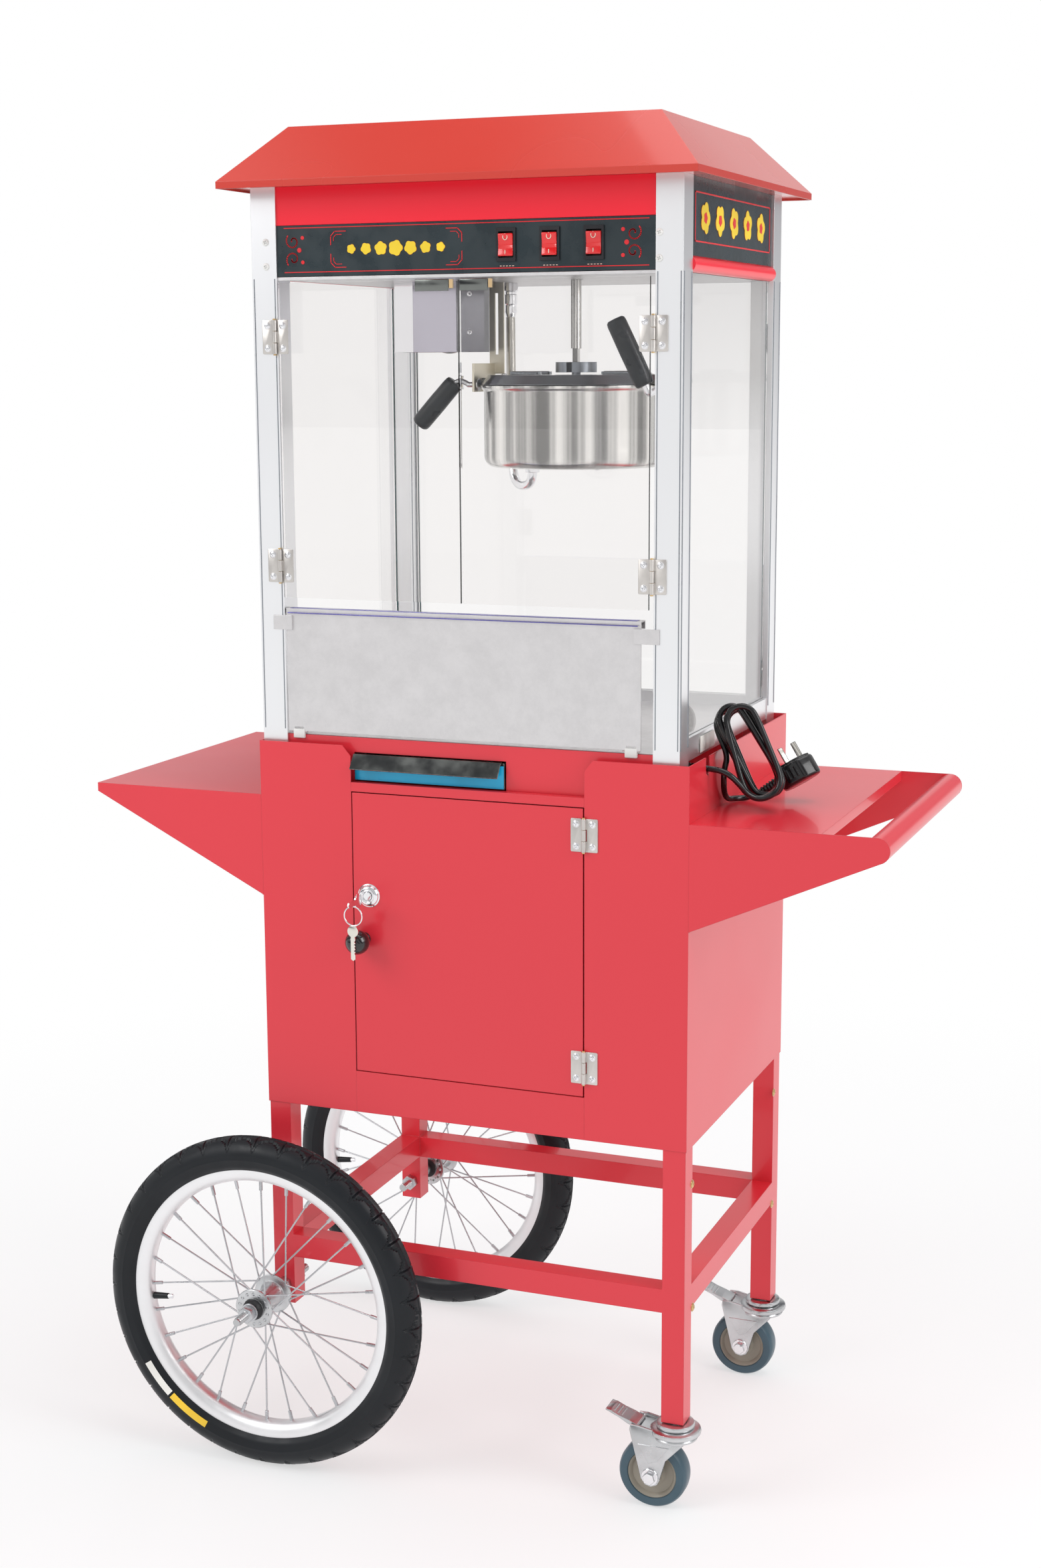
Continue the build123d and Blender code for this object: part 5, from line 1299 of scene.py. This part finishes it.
def make_lamp():
    """Frosted bulb with its screw socket behind the folded mirror shade."""
    low_corner, high_corner = box_mm("lamp_bulb")
    x, y = -106.0, 16.0
    bottom, top = low_corner.z, high_corner.z
    bulb = Shape("bulb_glass", MATERIALS["lamp_glass"])
    centre = bottom + 26
    profile = [(0, bottom)] + [(26 * math.cos(math.radians(a)), centre + 26 * math.sin(math.radians(a)))
                               for a in range(-84, 37, 8)] + [(17, centre + 19.8), (14.4, centre + 24),
                                                              (13.4, centre + 28),
                                                              (13, centre + 33), (0, centre + 33)]
    bulb.spin(profile, (x, y, 0), UP, 48, closed=False)
    bulb.done("cart", "lamp_glass", "lamp_bulb", sharp=60)
    socket = Shape("bulb_socket", MATERIALS["chrome"], MATERIALS["foot_plastic"])
    steps = [(0, centre + 32)]
    for turn in range(4):
        along = centre + 32 + turn * 2.6
        steps += [(13.4, along + 0.3), (14.2, along + 1.1), (13.4, along + 2.2)]
    socket.spin([*steps, (13, centre + 43), (0, centre + 43)], (x, y, 0), UP, 40, closed=False)
    socket.use(1)
    socket.spin([(0, centre + 42), (17, centre + 42), (18, centre + 43), (18, top - 1), (17, top), (0, top)],
                (x, y, 0), UP, 40, closed=False)
    socket.done("cart", "chrome")
    low_corner, high_corner = box_mm("lamp_shade")
    seams = Shape("shade_screws", MATERIALS["chrome"])
    for height in (high_corner.z - 14, low_corner.z + 22):
        screw(seams, (-67.0, -17.3, height), (0.735, -0.678, 0), 3.0, 1.3)
    seams.done("cart", "chrome")


CASE_FRONT_Y = -190.0
PANEL_FACE_Y = -188.0
SIGN_WALL_X = 238.45


def make_case_screws():
    """Screws on the posts, the base and the cart's frame, and the two feet of the serving panel."""
    white = Shape("post_screws", MATERIALS["foot_plastic"])
    for x, z in ((-236.0, 1405.0), (216.0, 1405.0), (-236.0, 1379.0), (216.0, 1379.0)):
        screw(white, (x, CASE_FRONT_Y, z), FRONT, 3.4, 1.8)
    white.done("cart", "foot_plastic")
    frame_screws = Shape("frame_screws", PIN_BRASS, MATERIALS["zinc"])
    leg = point_mm("caster_front_swivel")
    for y, z in ((-165, 234), (171, 235), (171, 381), (-171, 381)):
        screw(frame_screws, (leg.x + 13.0, y, z), RIGHT, 4.2, 2.0)
    frame_screws.use(1)
    for x in (-206.0, 196.0):
        screw(frame_screws, (x, -187.0, 838.0), FRONT, 3.2, 1.5)
    frame_screws.done("cart", "zinc")
    feet = Shape("panel_buffers", MATERIALS["foot_plastic"])
    for x in (-209, 187):
        low_corner, high_corner = box_mm("panel_feet")
        feet.box((x - 7, low_corner.y, low_corner.z), (x + 7, high_corner.y, high_corner.z), 0.8)
    feet.done("cart", "foot_plastic", "panel_feet")


ROCKER_X = {"left": 46.5, "middle": 95.5, "right": 144.5}


def bloom(middle, size, body, steps, phase):
    """Outline of a generic popped kernel with five lobes. body is the share of its size without them."""
    lobes = []
    for step in range(steps):
        turn = FULL_TURN * step / steps
        reach = size * (body + (1 - body) * abs(math.cos(2.5 * turn + phase)))
        lobes.append((middle[0] + reach * math.cos(turn), middle[1] + reach * math.sin(turn)))
    return lobes


def make_signs():
    """Generic ornament on the header: lines, curls and blooms in front, five popped kernels on the right."""
    trims = Shape("header_lines", ENAMEL_LINE, SIGN_CREAM, SIGN_YELLOW)
    low_x, high_x, low_z, high_z = -158.0, -4.0, 1377.0, 1415.0

    def strip(points, width, place, rise=0.5):
        """A raised line through points of a plane."""
        for (x0, y0), (x1, y1) in zip(points, points[1:]):
            way = Vector((x1 - x0, y1 - y0)).normalized()
            side = Vector((-way.y, way.x)) * width / 2
            ends = [(x0 - way.x * width / 2, y0 - way.y * width / 2),
                    (x1 + way.x * width / 2, y1 + way.y * width / 2)]
            corners = [(ends[0][0] - side.x, ends[0][1] - side.y), (ends[1][0] - side.x, ends[1][1] - side.y),
                       (ends[1][0] + side.x, ends[1][1] + side.y), (ends[0][0] + side.x, ends[0][1] + side.y)]
            trims.prism(corners, place, rise, 0.12, 1)

    trims.use(0)
    face = front_plane(PANEL_FACE_Y + 0.1)
    for sx, x in ((1, low_x), (-1, high_x)):
        for sz, z in ((1, low_z), (-1, high_z)):
            strip([(x + sx * 18, z), (x + sx * 5, z), (x, z + sz * 5), (x, z + sz * 14)], 0.9, face)
            strip([(x + sx * 13, z + sz * 3.4), (x + sx * 6.4, z + sz * 3.4), (x + sx * 3.4, z + sz * 6.4),
                   (x + sx * 3.4, z + sz * 10)], 0.7, face)
    middle = ((low_x + high_x) / 2, (low_z + high_z) / 2)
    trims.use(2)
    for number in range(-3, 4):
        size = 8.6 - 1.1 * abs(number)
        spot = (middle[0] + number * 17.5, middle[1])
        trims.prism(bloom(spot, size, 0.80, 48, number), face, 0.5, 0.15, 1)
    trims.use(0)
    strip([(-214, 1372.5), (204, 1372.5)], 1.0, face)
    strip([(-214, 1419.5), (204, 1419.5)], 1.0, face)
    for x in ROCKER_X.values():
        trims.use(1)
        for step in range(5):
            strip([(x - 7 + step * 3.5, 1374.6), (x - 5.6 + step * 3.5, 1374.6)], 0.8, face)
    for x, hand in ((-212.0, 1), (196.0, -1)):
        trims.use(0)
        for lift in (-1, 1):
            curl = []
            for step in range(28):
                turn, reach = 0.26 * step, 1.6 + 0.26 * step
                curl.append((x + hand * (8.5 - reach * math.cos(turn)),
                             1396 + lift * (9.5 + reach * math.sin(turn))))
            strip(curl, 1.3, face)
            trims.prism([(x + hand * 20 + 2.1 * px, 1396 + lift * 13 + 2.1 * pz) for px,
                         pz in regular(18, 1.0)], face,
                        0.5, 0.12, 1)
        trims.prism([(x + hand * 16 + 2.6 * px, 1396 + 2.6 * pz) for px, pz in regular(18, 1.0)], face, 0.5,
                    0.12, 1)
    wall = side_plane(SIGN_WALL_X)
    trims.use(0)
    rows = [(-140, 1398), (-140, 1448), (150, 1448), (150, 1398), (-140, 1398)]
    strip(rows, 1.6, wall)
    for number in range(5):
        centre = (-104 + number * 54.0, 1423)
        lobes = bloom(centre, 17, 0.76, 60, number * 0.7)
        trims.use(2).prism(lobes, wall, 0.5, 0.15, 1)
        trims.use(0).prism([(centre[0] + 0.36 * (x - centre[0]), centre[1] + 0.36 * (y - centre[1])) for x,
                            y in lobes],
                           wall @ Matrix.Translation((0, 0, 0.3)), 0.5, 0.15, 1)
    trims.done("cart", "red_header", sharp=30)


def make_rockers():
    """Red rocker switches with raised O and I marks."""
    for name, x in ROCKER_X.items():
        low_corner, high_corner = box_mm(f"rocker_{name}")
        rocker = Shape(f"rocker_key_{name}", MATERIALS["rocker_red"], SIGN_CREAM)
        middle = (low_corner.z + high_corner.z) / 2
        half = (high_corner.z - low_corner.z) / 2
        front, back = low_corner.y, high_corner.y
        outline = [(back - 1.5, middle - half + 2), (front + 1.2, middle - half),
                   (front + 0.2, middle - half + 1),
                   (front + 1.9, middle - 4), (front + 2.4, middle), (front + 1.9, middle + 4),
                   (front + 0.2, middle + half - 1), (front + 1.2, middle + half),
                   (back - 1.5, middle + half - 2)]
        width = high_corner.x - low_corner.x
        place = side_plane(low_corner.x)
        rocker.prism(outline, place, width, 0.6, 3)
        rocker.use(1)
        mark_y = front + 1.4
        ring = [Vector((x + 2.5 * math.cos(FULL_TURN * k / 32), mark_y - 0.5,
                        middle + 8.0 + 3.0 * math.sin(FULL_TURN * k / 32)))
                for k in range(33)]
        rocker.tube(ring, 0.42, 8)
        rocker.bar((x, mark_y - 0.5, middle - 10.4), (x, mark_y - 0.5, middle - 5.4), 0.45, 8)
        rocker.done(f"rocker_{name}", "rocker_red", f"rocker_{name}")


def make_post_groove_shade():
    """Dark lines on the posts as painted shade of their grooves, the cut edges of the panes and a blue metallic
    strip with a pale lip on the serving panel's fold.
    """
    # Thin dark bars along the posts: painted shade in the posts' grooves, not raised beads.
    groove_shade_lines = Shape("post_groove_shade_lines", MATERIALS["dull_steel"])
    for x, y in ((-251.2, -190.1), (-226.0, -190.1), (214.4, -190.1), (239.6, -190.1),
                 (242.1, -187.6), (242.1, -161.6), (242.1, 161.6), (242.1, 187.6),
                 (-221.4, 160.4), (-223.4, 176.0)):
        groove_shade_lines.bar((x, y, 868.0), (x, y, 1366.0), 0.55, 8, edge=0.1)
    groove_shade_lines.done("cart", "post_aluminium")
    edges = Shape("pane_edges", GLASS_EDGE)
    for x, y in ((231.2, 157.4), (231.2, -157.4), (-243.0, 157.4), (-221.5, 181.2)):
        edges.box((x - 0.7, y - 0.7, 878.0), (x + 0.7, y + 0.7, 1365.0), 0.3)
    edges.done("cart", "clear_glass")
    low, high = box_mm("serving_panel")
    # A blue metallic strip along the top of the fold and a pale lip under it.
    fold = Shape("panel_fold_blue_strip", FOLD_BLUE, MATERIALS["steel_sheet"])
    fold.box((low.x + 20, low.y + 2.2, high.z + 0.02), (high.x - 26, low.y + 12.5, high.z + 0.5), 0.15)
    fold.box((low.x + 18, low.y - 0.7, high.z - 5.5), (high.x - 24, low.y - 0.02, high.z - 4.3), 0.15)
    fold.done("panel", "steel_sheet")


def make_drawer_front():
    """Cyan protective film on the drawer's front under its dark lip, and the blank label above the cord."""
    film = Shape("drawer_film", FILM_CYAN)
    low_corner, high_corner = box_mm("crumb_drawer")
    film.box((low_corner.x + 0.6, -190.2, low_corner.z + 0.4), (high_corner.x - 0.6, -189.05, 840.0), 0.2)
    film.done("drawer", "dark_steel")
    label = Shape("rating_label", STICKER_WHITE)
    label.box((241.95, -116.0, 855.0), (242.3, -62.0, 873.0), 0.1)
    label.done("cart", "steel_sheet")


place_camera()
light_studio()
lay_floor()
paint_frame()
make_mains_cord()
for hand, corner in ((-1, "front"), (1, "back")):
    make_tyre(hand, corner)
    make_wheel(hand, corner)
    make_caster(corner)
make_axles()
make_hinges()
make_door_fittings()
make_store_door_fittings()
make_keys()
make_pot()
make_levers()
make_conduit()
make_lamp()
make_case_screws()
make_signs()
make_rockers()
make_post_groove_shade()
make_drawer_front()
